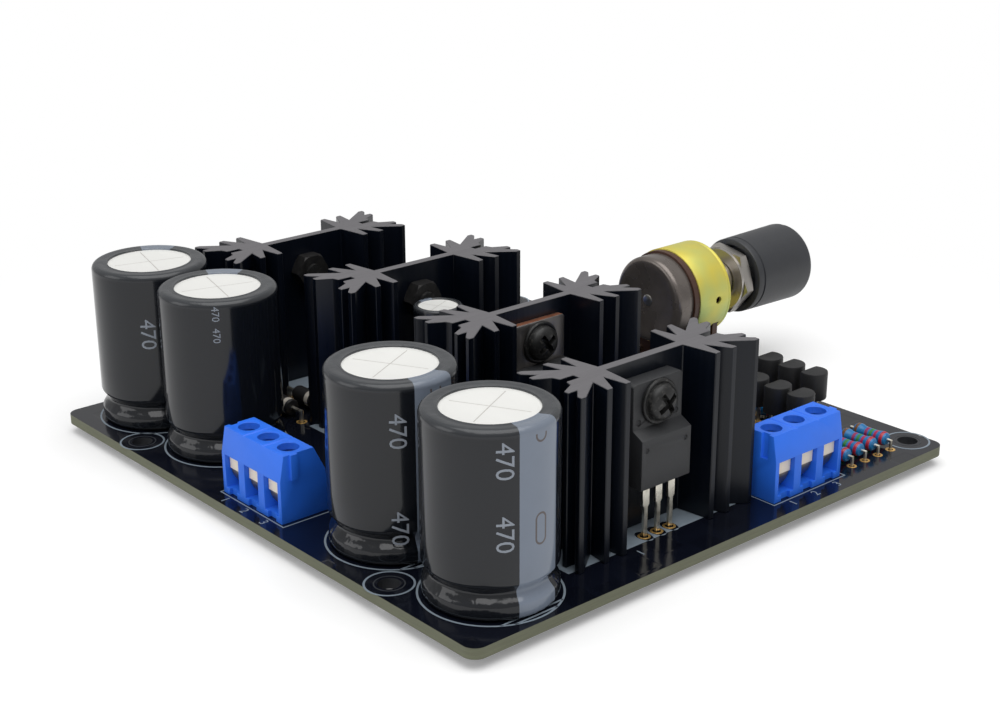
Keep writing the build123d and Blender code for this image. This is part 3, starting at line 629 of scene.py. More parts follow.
def zinc_finish(shade):
    """Yellow passivated zinc with a green and pink cast."""
    paint = Paint("yellow_zinc")
    green, pink = (0.54, 0.66, 0.24), (0.85, 0.70, 0.45)
    cast = paint.ramp(paint.noise(110.0, 2.0), 0.35, 0.65)
    blush = paint.ramp(paint.noise(170.0), 0.6, 0.8) * 0.5
    base = paint.mix(blush, paint.mix(cast, shade, green), pink)
    haze = paint.noise(900.0)
    return paint.surface(base, haze * 0.15 + 0.36, 0.5, relief=haze, depth=0.01)


def wafer_finish():
    """Brown laminated paper board."""
    paint = Paint("phenolic_wafer")
    dark, light = (0.045, 0.018, 0.011), (0.090, 0.038, 0.022)
    fibre = paint.noise(1500.0, 3.0, paint.stretched(1.0, 0.3, 1.0))
    return paint.grained(fibre, dark, light, 0.4, 0.15, depth=0.02)


def rear_can_finish():
    """Brown-grey lacquered can."""
    paint = Paint("rear_can")
    dark, light = (0.11, 0.095, 0.086), (0.25, 0.22, 0.20)
    return paint.grained(paint.noise(240.0), dark, light, 0.22, 0.12, 0.6, 0.02)


def plated_finish(name, low, high):
    """Bright plated metal with fine turning marks across the Y axis."""
    paint = Paint(name)
    marks = paint.noise(2600.0, 2.0, paint.stretched(0.05, 1.0, 0.05))
    return paint.grained(marks, low, high, 0.22, 0.15, 1.0, 0.015)


def knob_finish(sizes):
    """Satin dark grey knob with a pale pointer on its front."""
    paint = Paint("satin_knob")
    pointer_white, front_depth = (0.75, 0.75, 0.73), 1.2 * MM
    low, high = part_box("volume_knob")
    axis = (low + high) / 2
    front = paint.y < low.y + front_depth
    width = abs(paint.x - axis.x) < sizes.pointer_width / 2
    line = width * (paint.z > axis.z + sizes.pointer_start) * front
    grain = paint.noise(2800.0, 2.0)
    base = paint.mix(line, paint.speckled(sizes.body, 0.12, 500.0), pointer_white)
    return paint.surface(base, grain * 0.1 + 0.36, relief=grain, depth=0.01)


def resistor_finish(sizes):
    """Blue lacquer with coloured rings, placed by the piece's own attribute."""
    paint = Paint("resistor_lacquer")
    along = paint.along()
    base = paint.speckled(sizes.lacquer, 0.1, 700.0)
    rings = (
        (-2.45, (0.42, 0.02, 0.04)), (-1.2, (0.40, 0.02, 0.09)), (-0.35, (0.035, 0.22, 0.05)),
        (0.5, (0.30, 0.02, 0.10)), (2.35, (0.16, 0.07, 0.025)),
    )
    for middle, ring in rings:
        base = paint.mix(abs(along - middle * MM) < sizes.ring_half_width, base, ring)
    haze = paint.noise(900.0)
    return paint.surface(base, haze * 0.12 + 0.24, relief=haze, depth=0.02)


def diode_finish(sizes):
    """Black moulding with a silver band near one end."""
    paint = Paint("diode_moulding")
    black, silver = (0.016, 0.016, 0.017), (0.60, 0.56, 0.49)
    band = abs(paint.along() + sizes.band_place) < sizes.band_width / 2
    grain = paint.noise(2600.0, 2.0)
    return paint.surface(
        paint.mix(band, black, silver), grain * 0.15 + 0.32, relief=grain, depth=0.02
    )


def rotor_finish():
    """Pale moulded plastic."""
    paint = Paint("rotor_plastic")
    base = paint.speckled((0.42, 0.40, 0.34), 0.1, 400.0)
    return paint.surface(base, paint.noise(900.0) * 0.1 + 0.45)


# Shapes

def islands(node):
    """Lowest corner, highest corner and middle of the foot of each separate solid in a node's mesh."""
    shape = bmesh.new()
    shape.from_mesh(NODES[node].data)
    bmesh.ops.remove_doubles(shape, verts=shape.verts, dist=WELD)
    unseen = set(shape.verts)
    found = []
    while unseen:
        group = {unseen.pop()}
        edge = list(group)
        while edge:
            vertex = edge.pop()
            for link in vertex.link_edges:
                other = link.other_vert(vertex)
                if other in unseen:
                    unseen.discard(other)
                    group.add(other)
                    edge.append(other)
        spots = [v.co for v in group]
        low, high = [Vector([pick(p[k] for p in spots) for k in range(3)]) for pick in (min, max)]
        foot = [p for p in spots if p.z < low.z + LEVEL]
        found.append((low, high, sum(foot, Vector()) / len(foot)))
    shape.free()
    return sorted(found, key=lambda entry: (round(entry[2].x, 5), round(entry[2].y, 5)))


def merged(node):
    """Copy of a CAD node's mesh with its triangles joined into flat faces."""
    shape = bmesh.new()
    shape.from_mesh(NODES[node].data)
    bmesh.ops.remove_doubles(shape, verts=shape.verts, dist=WELD)
    bmesh.ops.dissolve_limit(shape, angle_limit=math.radians(0.5), verts=shape.verts, edges=shape.edges)
    return shape


def linked(name, data):
    """Object at the origin that holds a mesh or a curve."""
    made = bpy.data.objects.new(name, data)
    bpy.context.scene.collection.objects.link(made)
    return made


def as_object(name, shape):
    """Object at the origin made from a bmesh, which is used up."""
    mesh = bpy.data.meshes.new(name)
    shape.to_mesh(mesh)
    shape.free()
    return linked(name, mesh)


def as_shape(piece):
    """Bmesh made from an object, which is used up."""
    shape = bmesh.new()
    shape.from_mesh(piece.data)
    discard(piece)
    return shape


def apply_modifiers(piece):
    """Replace the piece's mesh with what its modifiers give, and drop the modifiers."""
    graph = bpy.context.evaluated_depsgraph_get()
    graph.update()
    mesh = bpy.data.meshes.new_from_object(
        piece.evaluated_get(graph), preserve_all_data_layers=True, depsgraph=graph
    )
    piece.modifiers.clear()
    piece.data = mesh
    if not mesh.polygons:
        raise RuntimeError(f"{piece.name} came out empty")
    return piece


def discard(piece):
    """Take a helper object out of the scene."""
    bpy.data.objects.remove(piece, do_unlink=True)


def combined(piece, shape, operation):
    """Boolean of a piece with a closed shape: DIFFERENCE or INTERSECT."""
    other = as_object(f"{piece.name}_{operation.lower()}", shape)
    change = piece.modifiers.new("combine", "BOOLEAN")
    change.operation = operation
    change.solver = "EXACT"
    change.object = other
    apply_modifiers(piece)
    discard(other)
    return piece


def cut_away(piece, shape):
    """Cut a closed shape out of a piece."""
    return combined(piece, shape, "DIFFERENCE")


def rounded(piece, width, segments=2, angle=30.0):
    """Round a piece's sharp edges."""
    bevel = piece.modifiers.new("round", "BEVEL")
    bevel.width = width
    bevel.segments = segments
    bevel.limit_method = "ANGLE"
    bevel.angle_limit = math.radians(angle)
    bevel.harden_normals = False
    return apply_modifiers(piece)


def softened(node, name, width, segments=2):
    """Rounded copy of a CAD node."""
    return rounded(as_object(name, merged(node)), width, segments)


def finish_piece(piece, finish, body="board", replaces=(), slot=None, smooth=32.0):
    """Give a piece its material, shading and body, and hide the nodes that it stands for."""
    piece.data.materials.clear()
    piece.data.materials.append(finish)
    piece.data.polygons.foreach_set("material_index", [0] * len(piece.data.polygons))
    piece.data.shade_smooth()
    piece.data.set_sharp_from_angle(angle=math.radians(smooth))
    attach(piece, body)
    if replaces:
        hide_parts(*replaces)
    return piece


def paint_node(node, finish):
    """Give a CAD node its material."""
    materials = NODES[node].data.materials
    materials.clear()
    materials.append(finish)


def lathe(profile, segments, flat_map=False):
    """Shape turned about Z from (radius, height) points in millimetres, from the bottom up."""
    shape = bmesh.new()
    uv_map = shape.loops.layers.uv.new("UVMap")
    reach = max(radius for radius, height in profile)
    top = max(height for radius, height in profile)
    rows = []
    for radius, height in profile:
        count = segments if radius > 1e-6 else 1
        angles = [2 * math.pi * i / segments for i in range(count)]
        ring = [(radius * math.cos(a) * MM, radius * math.sin(a) * MM, height * MM) for a in angles]
        rows.append([shape.verts.new(spot) for spot in ring])
    for low, high in zip(rows, rows[1:]):
        for i in range(segments):
            turns = ((low, i), (low, i + 1), (high, i + 1), (high, i))
            corners = []
            for row, turn in turns:
                if len(row) > 1 or all(vertex is not row[0] for vertex, step in corners):
                    corners.append((row[turn % len(row)], turn))
            face = shape.faces.new([vertex for vertex, turn in corners])
            for loop, (vertex, turn) in zip(face.loops, corners):
                if flat_map:
                    spot = vertex.co / (reach * MM)
                    loop[uv_map].uv = (spot.x / 2 + 0.5, spot.y / 2 + 0.5)
                else:
                    loop[uv_map].uv = (turn / segments, vertex.co.z / (top * MM))
    return shape


def arc_points(centre_radius, centre_height, radius, start, end, steps):
    """Profile points along an arc, angles in degrees from the radial direction."""
    points = []
    for k in range(steps + 1):
        angle = math.radians(start + (end - start) * k / steps)
        points.append((centre_radius + radius * math.cos(angle), centre_height + radius * math.sin(angle)))
    return points


def closed_lathe(profile, segments, place):
    """Ring turned from an outline that ends where it starts, or a solid with no open end."""
    shape = lathe(profile, segments)
    bmesh.ops.remove_doubles(shape, verts=shape.verts, dist=WELD / 10)
    bmesh.ops.recalc_face_normals(shape, faces=shape.faces)
    return moved(shape, place)


def shave_corners(piece, corner, thickness, place):
    """Chamfer the corners of a hexagon nut at both ends; the matrix gives its middle and axis."""
    radius, half, chamfer = corner / MM, thickness / 2 / MM, 0.45
    inner, outer = radius * 0.9, radius * 1.1
    profile = [(0, -half), (inner, -half), (outer, chamfer - half), (outer, half - chamfer),
               (inner, half), (0, half)]
    return combined(piece, moved(lathe(profile, 48), place), "INTERSECT")


def box_shape(size_x, size_y, size_z, place):
    """Box as a bmesh, sizes in metres; place is a matrix."""
    shape = bmesh.new()
    bmesh.ops.create_cube(shape, size=1.0, matrix=place @ Matrix.Diagonal((size_x, size_y, size_z, 1)))
    return shape


def rod_shape(radius, length, place, sides=24):
    """Closed cylinder as a bmesh, its axis along the matrix's Z."""
    shape = bmesh.new()
    bmesh.ops.create_cone(
        shape, cap_ends=True, segments=sides, radius1=radius, radius2=radius, depth=length, matrix=place
    )
    return shape


def joined(shapes):
    """One bmesh from several."""
    whole = bmesh.new()
    for shape in shapes:
        part = bpy.data.meshes.new("part")
        shape.to_mesh(part)
        shape.free()
        whole.from_mesh(part)
        bpy.data.meshes.remove(part)
    return whole


def moved(shape, place):
    """Move a bmesh by a matrix."""
    shape.transform(place)
    return shape


def text_shape(body, height, place):
    """Flat plain characters, centred, laid out in the matrix's XY plane."""
    curve = bpy.data.curves.new("characters", "FONT")
    curve.body = body
    curve.size = height
    curve.align_x = "CENTER"
    curve.align_y = "CENTER"
    curve.resolution_u = 3
    holder = linked("characters", curve)
    graph = bpy.context.evaluated_depsgraph_get()
    mesh = bpy.data.meshes.new_from_object(holder.evaluated_get(graph), depsgraph=graph)
    shape = bmesh.new()
    shape.from_mesh(mesh)
    shape.transform(place)
    discard(holder)
    bpy.data.meshes.remove(mesh)
    return shape


# Geometry Nodes

class Tree(Graph):
    """A Geometry Nodes tree with named inputs that ends in Realize Instances and Set Material."""

    def __init__(self, name, inputs):
        group = bpy.data.node_groups.new(name, "GeometryNodeTree")
        super().__init__(group)
        self.identifiers = {}
        kinds = {"Geometry": "NodeSocketGeometry", **inputs, "Finish": "NodeSocketMaterial"}
        for label, kind in kinds.items():
            made = group.interface.new_socket(label, in_out="INPUT", socket_type=kind)
            self.identifiers[label] = made.identifier
        group.interface.new_socket("Geometry", in_out="OUTPUT", socket_type="NodeSocketGeometry")
        self.source = group.nodes.new("NodeGroupInput")

    def given(self, label):
        """One named input."""
        return Value(self, self.source.outputs[label])

    def attribute(self, name, kind):
        """A named attribute of the points."""
        return self.node("GeometryNodeInputNamedAttribute", {"data_type": kind}, {"Name": name})

    def lifted(self, geometry, height):
        """Geometry moved up."""
        up = self.node("ShaderNodeCombineXYZ", {}, [0.0, 0.0, height])
        return self.node("GeometryNodeTransform", {}, {"Geometry": geometry, "Translation": up})

    def joined(self, *parts):
        """Several geometries as one."""
        whole = self.node("GeometryNodeJoinGeometry")
        for part in parts:
            self.tree.links.new(part.socket, whole.socket.node.inputs[0])
        return whole

    def close(self, geometry):
        """End the tree."""
        real = self.node("GeometryNodeRealizeInstances", {}, [geometry])
        painted = self.node(
            "GeometryNodeSetMaterial", {}, {"Geometry": real, "Material": self.given("Finish")}
        )
        self.node("NodeGroupOutput", {}, [painted])
        return self

    def run(self, piece, **given):
        """Run the tree on a piece, with its inputs set by name."""
        modifier = piece.modifiers.new(self.tree.name, "NODES")
        modifier.node_group = self.tree
        for label, value in given.items():
            modifier[self.identifiers[label.replace("_", " ")]] = value
        return apply_modifiers(piece)


def set_out_tree():
    """Puts a copy of a piece at each point, turned by the point's facing."""
    tree = Tree("set_out_copies", {"Piece": "NodeSocketObject"})
    piece = tree.node(
        "GeometryNodeObjectInfo", {"transform_space": "ORIGINAL"}, {"Object": tree.given("Piece")},
        output="Geometry",
    )
    facing = tree.node("FunctionNodeEulerToRotation", {}, [tree.attribute("facing", "FLOAT_VECTOR")])
    copies = tree.node(
        "GeometryNodeInstanceOnPoints", {},
        {"Points": tree.given("Geometry"), "Instance": piece, "Rotation": facing},
    )
    return tree.close(copies)


def joint_tree():
    """A concave soldered joint below each point, as wide as the point's pad says."""
    tree = Tree("soldered_joints", {"Height": "NodeSocketFloat"})
    shoulder = 0.42
    cone = tree.node(
        "GeometryNodeMeshCone", {"fill_type": "NGON"},
        {"Vertices": 16, "Side Segments": 5, "Radius Top": shoulder, "Radius Bottom": 1.0,
         "Depth": 1.0},
        output="Mesh",
    )
    spot = tree.node("GeometryNodeInputPosition")
    split = tree.node("ShaderNodeSeparateXYZ", {}, [spot]).socket.node
    x, y, z = [Value(tree, socket) for socket in split.outputs]
    wanted = (1 - z) * (1 - z) * (1 - shoulder) + shoulder
    straight = 1 - z * (1 - shoulder)
    pull = wanted / straight - 1
    shift = tree.node("ShaderNodeCombineXYZ", {}, [x * pull, y * pull, 0.0])
    hollow = tree.node("GeometryNodeSetPosition", {}, {"Geometry": cone, "Offset": shift})
    pad = tree.attribute("pad", "FLOAT")
    scale = tree.node("ShaderNodeCombineXYZ", {}, [pad, pad, tree.given("Height")])
    downwards = (math.pi, 0.0, 0.0)
    copies = tree.node(
        "GeometryNodeInstanceOnPoints", {},
        {"Points": tree.given("Geometry"), "Instance": hollow, "Rotation": downwards, "Scale": scale},
    )
    return tree.close(copies)


def line_tree():
    """Flat raised line of one width along every edge chain."""
    tree = Tree("flat_lines", {"Width": "NodeSocketFloat", "Height": "NodeSocketFloat"})
    path = tree.node("GeometryNodeMeshToCurve", {}, {"Mesh": tree.given("Geometry")})
    level = tree.node("GeometryNodeSetCurveNormal", {}, {"Curve": path})
    level.socket.node.mode = "Z_UP"
    section = tree.node(
        "GeometryNodeCurvePrimitiveQuadrilateral", {"mode": "RECTANGLE"},
        {"Width": tree.given("Width"), "Height": tree.given("Height")},
    )
    line = tree.node(
        "GeometryNodeCurveToMesh", {}, {"Curve": level, "Profile Curve": section, "Fill Caps": True}
    )
    return tree.close(line)


def field_tree():
    """Flat field with holes, filled between closed edge loops and lifted to a level."""
    tree = Tree("flat_fields", {"Level": "NodeSocketFloat", "Height": "NodeSocketFloat"})
    path = tree.node("GeometryNodeMeshToCurve", {}, {"Mesh": tree.given("Geometry")})
    field = tree.node("GeometryNodeFillCurve", {"mode": "TRIANGLES"}, {"Curve": path})
    raised = tree.node(
        "GeometryNodeExtrudeMesh", {"mode": "FACES"},
        {"Mesh": tree.lifted(field, tree.given("Level")), "Offset Scale": tree.given("Height"),
         "Individual": False},
    )
    return tree.close(raised)


def thread_tree():
    """Helical thread of a given pitch up from the origin, with or without a core inside it."""
    tree = Tree(
        "screw_thread",
        {"Radius": "NodeSocketFloat", "Pitch": "NodeSocketFloat", "Length": "NodeSocketFloat",
         "Core": "NodeSocketBool"},
    )
    radius, pitch, length = [tree.given(label) for label in ("Radius", "Pitch", "Length")]
    ridge_radius = pitch * 0.3
    root = radius - ridge_radius
    turns = (length / pitch).math("FLOOR") - 1.0
    path = tree.node(
        "GeometryNodeCurveSpiral", {},
        {"Resolution": 28, "Rotations": turns, "Start Radius": root, "End Radius": root,
         "Height": turns * pitch},
    )
    ridge = tree.node(
        "GeometryNodeCurvePrimitiveCircle", {"mode": "RADIUS"}, {"Resolution": 6, "Radius": ridge_radius}
    )
    coil = tree.node(
        "GeometryNodeCurveToMesh", {}, {"Curve": path, "Profile Curve": ridge, "Fill Caps": True}
    )
    core = tree.node(
        "GeometryNodeMeshCylinder", {"fill_type": "NGON"},
        {"Vertices": 28, "Radius": root + pitch * 0.08, "Depth": length}, output="Mesh",
    )
    thread = tree.lifted(coil, pitch * 0.5)
    rod = tree.joined(thread, tree.lifted(core, length * 0.5))
    chosen = tree.node(
        "GeometryNodeSwitch", {"input_type": "GEOMETRY"},
        {"Switch": tree.given("Core"), "False": thread, "True": rod},
    )
    return tree.close(chosen)


def point_cloud(name, spots, facings=None, pads=None):
    """Mesh of loose points with the attributes that the trees read."""
    mesh = bpy.data.meshes.new(name)
    mesh.from_pydata([tuple(spot) for spot in spots], [], [])
    if facings is not None:
        angles = mesh.attributes.new("facing", "FLOAT_VECTOR", "POINT")
        angles.data.foreach_set("vector", [value for facing in facings for value in facing])
    if pads is not None:
        width = mesh.attributes.new("pad", "FLOAT", "POINT")
        width.data.foreach_set("value", pads)
    return linked(name, mesh)


def set_out(name, unit, spots, facings, finish, **details):
    """Copies of a unit piece at the given places, as one finished piece; the unit is used up."""
    cloud = point_cloud(name, spots, facings)
    TREES["set_out"].run(cloud, Piece=unit, Finish=finish)
    discard(unit)
    return finish_piece(cloud, finish, **details)


def chains(name, lines):
    """Mesh of edge chains from (points, closed) pairs."""
    spots, edges = [], []
    for points, closed in lines:
        first = len(spots)
        spots += [tuple(point) for point in points]
        edges += [(first + k, first + k + 1) for k in range(len(points) - 1)]
        if closed:
            edges.append((len(spots) - 1, first))
    mesh = bpy.data.meshes.new(name)
    mesh.from_pydata(spots, edges, [])
    return linked(name, mesh)


def oval(x, y, z, half_x, half_y, steps=64):
    """Points round a level oval."""
    angles = [2 * math.pi * k / steps for k in range(steps)]
    return [(x + half_x * math.cos(a), y + half_y * math.sin(a), z) for a in angles]


def circle(x, y, z, radius, steps=64):
    """Points round a level circle."""
    return oval(x, y, z, radius, radius, steps)


def threaded(name, radius, pitch, length, place, core=True):
    """Thread as a bmesh, its foot at the matrix's origin, on a solid core or for a tube."""
    start = point_cloud(name, [(0, 0, 0)])
    TREES["thread"].run(start, Radius=radius, Pitch=pitch, Length=length, Core=core, Finish=None)
    return moved(as_shape(start), place)


def drawn_lines(name, paths, width, height, finish):
    """Raised flat lines along the given paths, as one finished piece."""
    lines = chains(name, paths)
    TREES["line"].run(lines, Width=width, Height=height, Finish=finish)
    return finish_piece(lines, finish)


def centre(low, high):
    """Middle of a box."""
    return (low + high) / 2


def middle_of(node):
    """Middle of a CAD node's box."""
    return centre(*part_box(node))


def turned(angle, axis):
    """Rotation matrix, its angle in degrees."""
    return Matrix.Rotation(math.radians(angle), 4, axis)


def screw_middles(terminal):
    """Middles of a terminal's clamping screws."""
    return [middle_of(f"{terminal}_terminal_screw_{pole}") for pole in POLES]


def regulator_side(number):
    """-1 where the regulator stands left of its heatsink's web, 1 where it stands right of it."""
    offset = middle_of(f"regulator_body_{number}").x - middle_of(f"heatsink_{number}").x
    return math.copysign(1.0, offset)


def mounting_holes():
    """Centres of the four mounting holes, as the record gives them."""
    spots = []
    for mount in frame["record"]["mounts"]:
        if mount.get("kind") == "bolt_pattern":
            x, y = mount["pos_m"][:2]
            half = mount["dims"]["spacing_x_mm"] * MM / 2
            spots += [(x - half, y), (x + half, y)]
    return spots


def rectangle(x, y, z, half_x, half_y):
    """Corners of a level rectangle."""
    corners = ((-1, -1), (1, -1), (1, 1), (-1, 1))
    return [(x + side_x * half_x, y + side_y * half_y, z) for side_x, side_y in corners]


def hatching(sizes, middle, ring, level, upright):
    """Chords of a capacitor's ring on its far side, set out along x if upright and else along y."""
    lines = []
    first = math.ceil(sizes.hatch_start * ring / sizes.hatch_pitch)
    for k in range(first, int(ring / sizes.hatch_pitch) + 1):
        offset = k * sizes.hatch_pitch
        reach = math.sqrt(ring ** 2 - offset ** 2)
        if upright:
            spots = [(middle.x - offset, middle.y + side * reach, level) for side in (-1, 1)]
        else:
            spots = [(middle.x + side * reach, middle.y - offset, level) for side in (-1, 1)]
        lines.append((spots, False))
    return lines


def print_lines(sizes):
    """Rings, hatching and outlines, all just above the board."""
    level = BOARD_TOP + sizes.ink_height / 2
    lines = []
    for number, node in zip(NUMBERS, LARGE_CANS):
        low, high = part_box(node)
        middle = centre(low, high)
        ring = (high.x - low.x) / 2 + sizes.ring_gap
        lines.append((circle(middle.x, middle.y, level, ring, 96), True))
        lines += hatching(sizes, middle, ring, level, number in LEFT_CANS)
    lines += [(circle(x, y, level, sizes.hole_ring, 72), True) for x, y in mounting_holes()]
    for name in TERMINALS:
        low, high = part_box(f"{name}_terminal_housing")
        middle = centre(low, high)
        half = (high - low) / 2 + Vector((1, 1, 0)) * sizes.outline_margin
        lines.append((rectangle(middle.x, middle.y, level, half.x, half.y), True))
    return lines


def ink_fields(sizes):
    """Outlines of the inked fields under the heatsinks, with bare ovals round the leads."""
    loops = []
    for number in NUMBERS:
        low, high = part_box(f"heatsink_{number}")
        middle = centre(low, high)
        reach = (high.y - low.y) / 2 + sizes.footprint_margin
        field = rectangle(middle.x, middle.y, 0.0, sizes.footprint_half_width, reach)
        loops.append((field, True))
        for low, high, foot in islands(f"regulator_leads_{number}"):
            bare = oval(foot.x, foot.y, 0.0, sizes.clearance_off_row, sizes.clearance_in_row, 28)
            loops.append((bare, True))
    return loops


def digit_shapes(sizes):
    """Plain digits beside the terminals and the heatsinks."""
    shapes = []
    level = BOARD_TOP + sizes.ink_height
    outward = {"supply": (0, 1, 180), "output": (-1, 0, -90), "input": (1, 0, 90)}
    for name, (dx, dy, turn) in outward.items():
        low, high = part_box(f"{name}_terminal_housing")
        for pole, spot in zip(POLES, screw_middles(name)):
            if dx:
                x, y = (high.x if dx > 0 else low.x) + dx * sizes.digit_gap, spot.y
            else:
                x, y = spot.x, high.y + dy * sizes.back_digit_gap
            place = Matrix.Translation((x, y, level)) @ turned(turn, "Z")
            shapes.append(text_shape(str(pole), sizes.digit_size, place))
    for number in NUMBERS:
        low, high, foot = islands(f"regulator_leads_{number}")[-1]
        x = middle_of(f"heatsink_{number}").x - sizes.footprint_half_width - sizes.number_gap
        place = Matrix.Translation((x, foot.y + sizes.number_shift, level)) @ turned(-90, "Z")
        shapes.append(text_shape(str(number), sizes.digit_size, place))
    return shapes


def lead_feet(most_room):
    """Foot of every lead that goes through the board, half the lead's width and the room round it."""
    marks = []
    for node in LEAD_NODES:
        feet = [foot for low, high, foot in islands(node)]
        corners = [vertex.co for vertex in NODES[node].data.vertices]
        for foot in feet:
            gaps = [(foot - other).length / 2 for other in feet if other is not foot]
            room = min(gaps + [most_room])
            near = [p for p in corners if abs(p.z - foot.z) < LEVEL and (p - foot).length < room]
            half = max((p - foot).xy.length for p in near)
            marks.append((foot, half, room))
    return marks


# Operators

class PREAMP_OT_board(bpy.types.Operator):
    """Lacquer the board and print its marks"""
    bl_idname = "preamp.board"
    bl_label = "Board and print"

    def execute(self, context):
        sizes = context.scene.preamp_board
        paint_node("circuit_board", board_finish(sizes))
        ink = ink_finish("board_ink", sizes.ink)
        drawn_lines("board_print_lines", print_lines(sizes), sizes.line_width, sizes.ink_height, ink)
        level = BOARD_TOP + sizes.ink_height / 2
        rims = [(circle(x, y, level, sizes.hole_rim), True) for x, y in mounting_holes()]
        dark = ink_finish("hole_rim", sizes.rim_ink)
        drawn_lines("hole_rims", rims, sizes.hole_rim_width, sizes.ink_height, dark)
        fields = chains("board_print_fields", ink_fields(sizes))
        TREES["field"].run(fields, Level=BOARD_TOP, Height=sizes.ink_height * 0.8, Finish=ink)
        finish_piece(fields, ink)
        finish_piece(as_object("board_print_digits", joined(digit_shapes(sizes))), ink)
        return {"FINISHED"}


class PREAMP_OT_solder(bpy.types.Operator):
    """Plate the pads and solder every lead below the board"""
    bl_idname = "preamp.solder"
    bl_label = "Pads and solder"

    def execute(self, context):
        sizes = context.scene.preamp_solder
        marks = lead_feet(sizes.most_room)
        level = BOARD_TOP + sizes.pad_height / 2
        rings = []
        for foot, half, room in marks:
            inner = min(half + sizes.hole_gap, room - sizes.pad_ring - sizes.spacing)
            rings.append((circle(foot.x, foot.y, level, inner + sizes.pad_ring / 2, 24), True))
        drawn_lines("gold_pads", rings, sizes.pad_ring, sizes.pad_height, gold_finish())
        spots = [(foot.x, foot.y, BOARD_UNDERSIDE) for foot, half, room in marks]
        widths = [min(half + sizes.joint_spread, room - sizes.spacing) for foot, half, room in marks]
        solder = solder_finish()
        joints = point_cloud("solder_joints", spots, pads=widths)
        TREES["joint"].run(joints, Height=sizes.joint_height, Finish=solder)
        finish_piece(joints, solder)
        tin = tinned_finish()
        for node in WIRE_NODES:
            paint_node(node, tin)
        return {"FINISHED"}


class PREAMP_OT_capacitors(bpy.types.Operator):
    """Sleeve the capacitors and close them with scored ends"""
    bl_idname = "preamp.capacitors"
    bl_label = "Capacitors"

    def execute(self, context):
        sizes = context.scene.preamp_capacitor
        self.dress("large", sizes, LARGE_CANS, [math.radians(turn) for turn in SLEEVE_TURNS])
        self.dress("small", sizes, ["small_capacitor"], [math.pi])
        self.print_digits(sizes)
        return {"FINISHED"}

    def dress(self, label, sizes, nodes, turns):
        """Sleeves and metal ends of all the cans of one size."""
        form = SLEEVE_FORMS[label]
        low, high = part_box(nodes[0])
        radius, height = (high.x - low.x) / 2 / MM, (high.z - low.z) / MM
        opening = radius * form["opening"]
        spots = [(middle.x, middle.y, BOARD_TOP) for middle in map(middle_of, nodes)]
        facings = [(0.0, 0.0, turn) for turn in turns]
        girth = 2 * math.pi * radius * MM
        foot_share = form["waist"] / height
        film = sleeve_finish(f"{label}_capacitor_sleeve", sizes, girth, height * MM, foot_share)
        unit = as_object("sleeve_unit", lathe(self.sleeve_profile(radius, height, opening, form), 72))
        set_out(f"{label}_capacitor_sleeves", unit, spots, facings, film, replaces=nodes, slot="sleeve")
        unit = as_object("end_unit", lathe(self.end_profile(height, opening), 72, flat_map=True))
        metal = can_end_finish(f"{label}_capacitor_end")
        set_out(f"{label}_capacitor_ends", unit, spots, facings, metal, slot="sleeve")

    def sleeve_profile(self, radius, height, opening, form):
        """Outline from the rounded foot over the crimped waist to the curl round the end."""
        waist, half, depth, rim = [form[name] for name in ("waist", "half", "depth", "rim")]
        steps = 6
        profile = [(0, 0), (radius - 1.8 * depth, 0)]
        profile += arc_points(radius - depth, depth, depth, -90, 0, 5)
        for k in range(2 * steps + 1):
            share = k / steps - 1
            dip = depth * (1 + math.cos(math.pi * share)) / 2
            profile.append((radius - dip, waist + share * half))
        top, foot = height - rim, waist + half
        profile += [(radius, foot + k * (top - foot) / steps) for k in range(1, steps)]
        profile += arc_points(radius - rim, top, rim, 0, 90, 7)
        hollow, fold, crest, mouth, floor = [height - drop for drop in (0.04, 0.1, 0.02, 0.12, 0.55)]
        lip, curl = opening + 0.35, opening + 0.1
        profile += [((radius - rim + lip) / 2, hollow), (lip, fold), (curl, crest)]
        return profile + [(opening, mouth), (opening, floor), (0, floor)]

    def end_profile(self, height, opening):
        """Outline of the metal end: flat, with a low bead inside its edge."""
        under, edge, bead, middle = [height - drop for drop in (0.5, 0.3, 0.26, 0.28)]
        reach = opening + 0.05
        return [(0, under), (reach, under), (reach, edge), (opening * 0.93, bead),
                (opening * 0.87, edge), (0, middle)]

    def print_digits(self, sizes):
        """Plain digits down each large sleeve, cut into slices and bent round it."""
        shapes = []
        for node, (turn, rows) in zip(LARGE_CANS, DIGIT_ROWS):
            low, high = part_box(node)
            middle = centre(low, high)
            radius = (high.x - low.x) / 2
            across = radius + sizes.digit_lift
            for level, size_name in rows:
                height = getattr(sizes, size_name)
                shape = text_shape(sizes.digits, height, turned(-90, "Z"))
                self.slice_up(shape, sizes.digit_slice, height)
                for vertex in shape.verts:
                    angle = math.radians(turn) + vertex.co.x / radius
                    rise = BOARD_TOP + level * MM + vertex.co.y
                    x, y = middle.x + across * math.cos(angle), middle.y + across * math.sin(angle)
                    vertex.co = (x, y, rise)
                shapes.append(shape)
        digits = as_object("capacitor_digits", joined(shapes))
        finish_piece(digits, ink_finish("sleeve_ink", sizes.ink))

    def slice_up(self, shape, width, reach):
        """Cut flat characters into upright slices so that they can be bent."""
        count = int(reach / width)
        for k in range(-count, count + 1):
            parts = [*shape.verts, *shape.edges, *shape.faces]
            bmesh.ops.bisect_plane(shape, geom=parts, plane_co=(k * width, 0, 0), plane_no=(1, 0, 0))


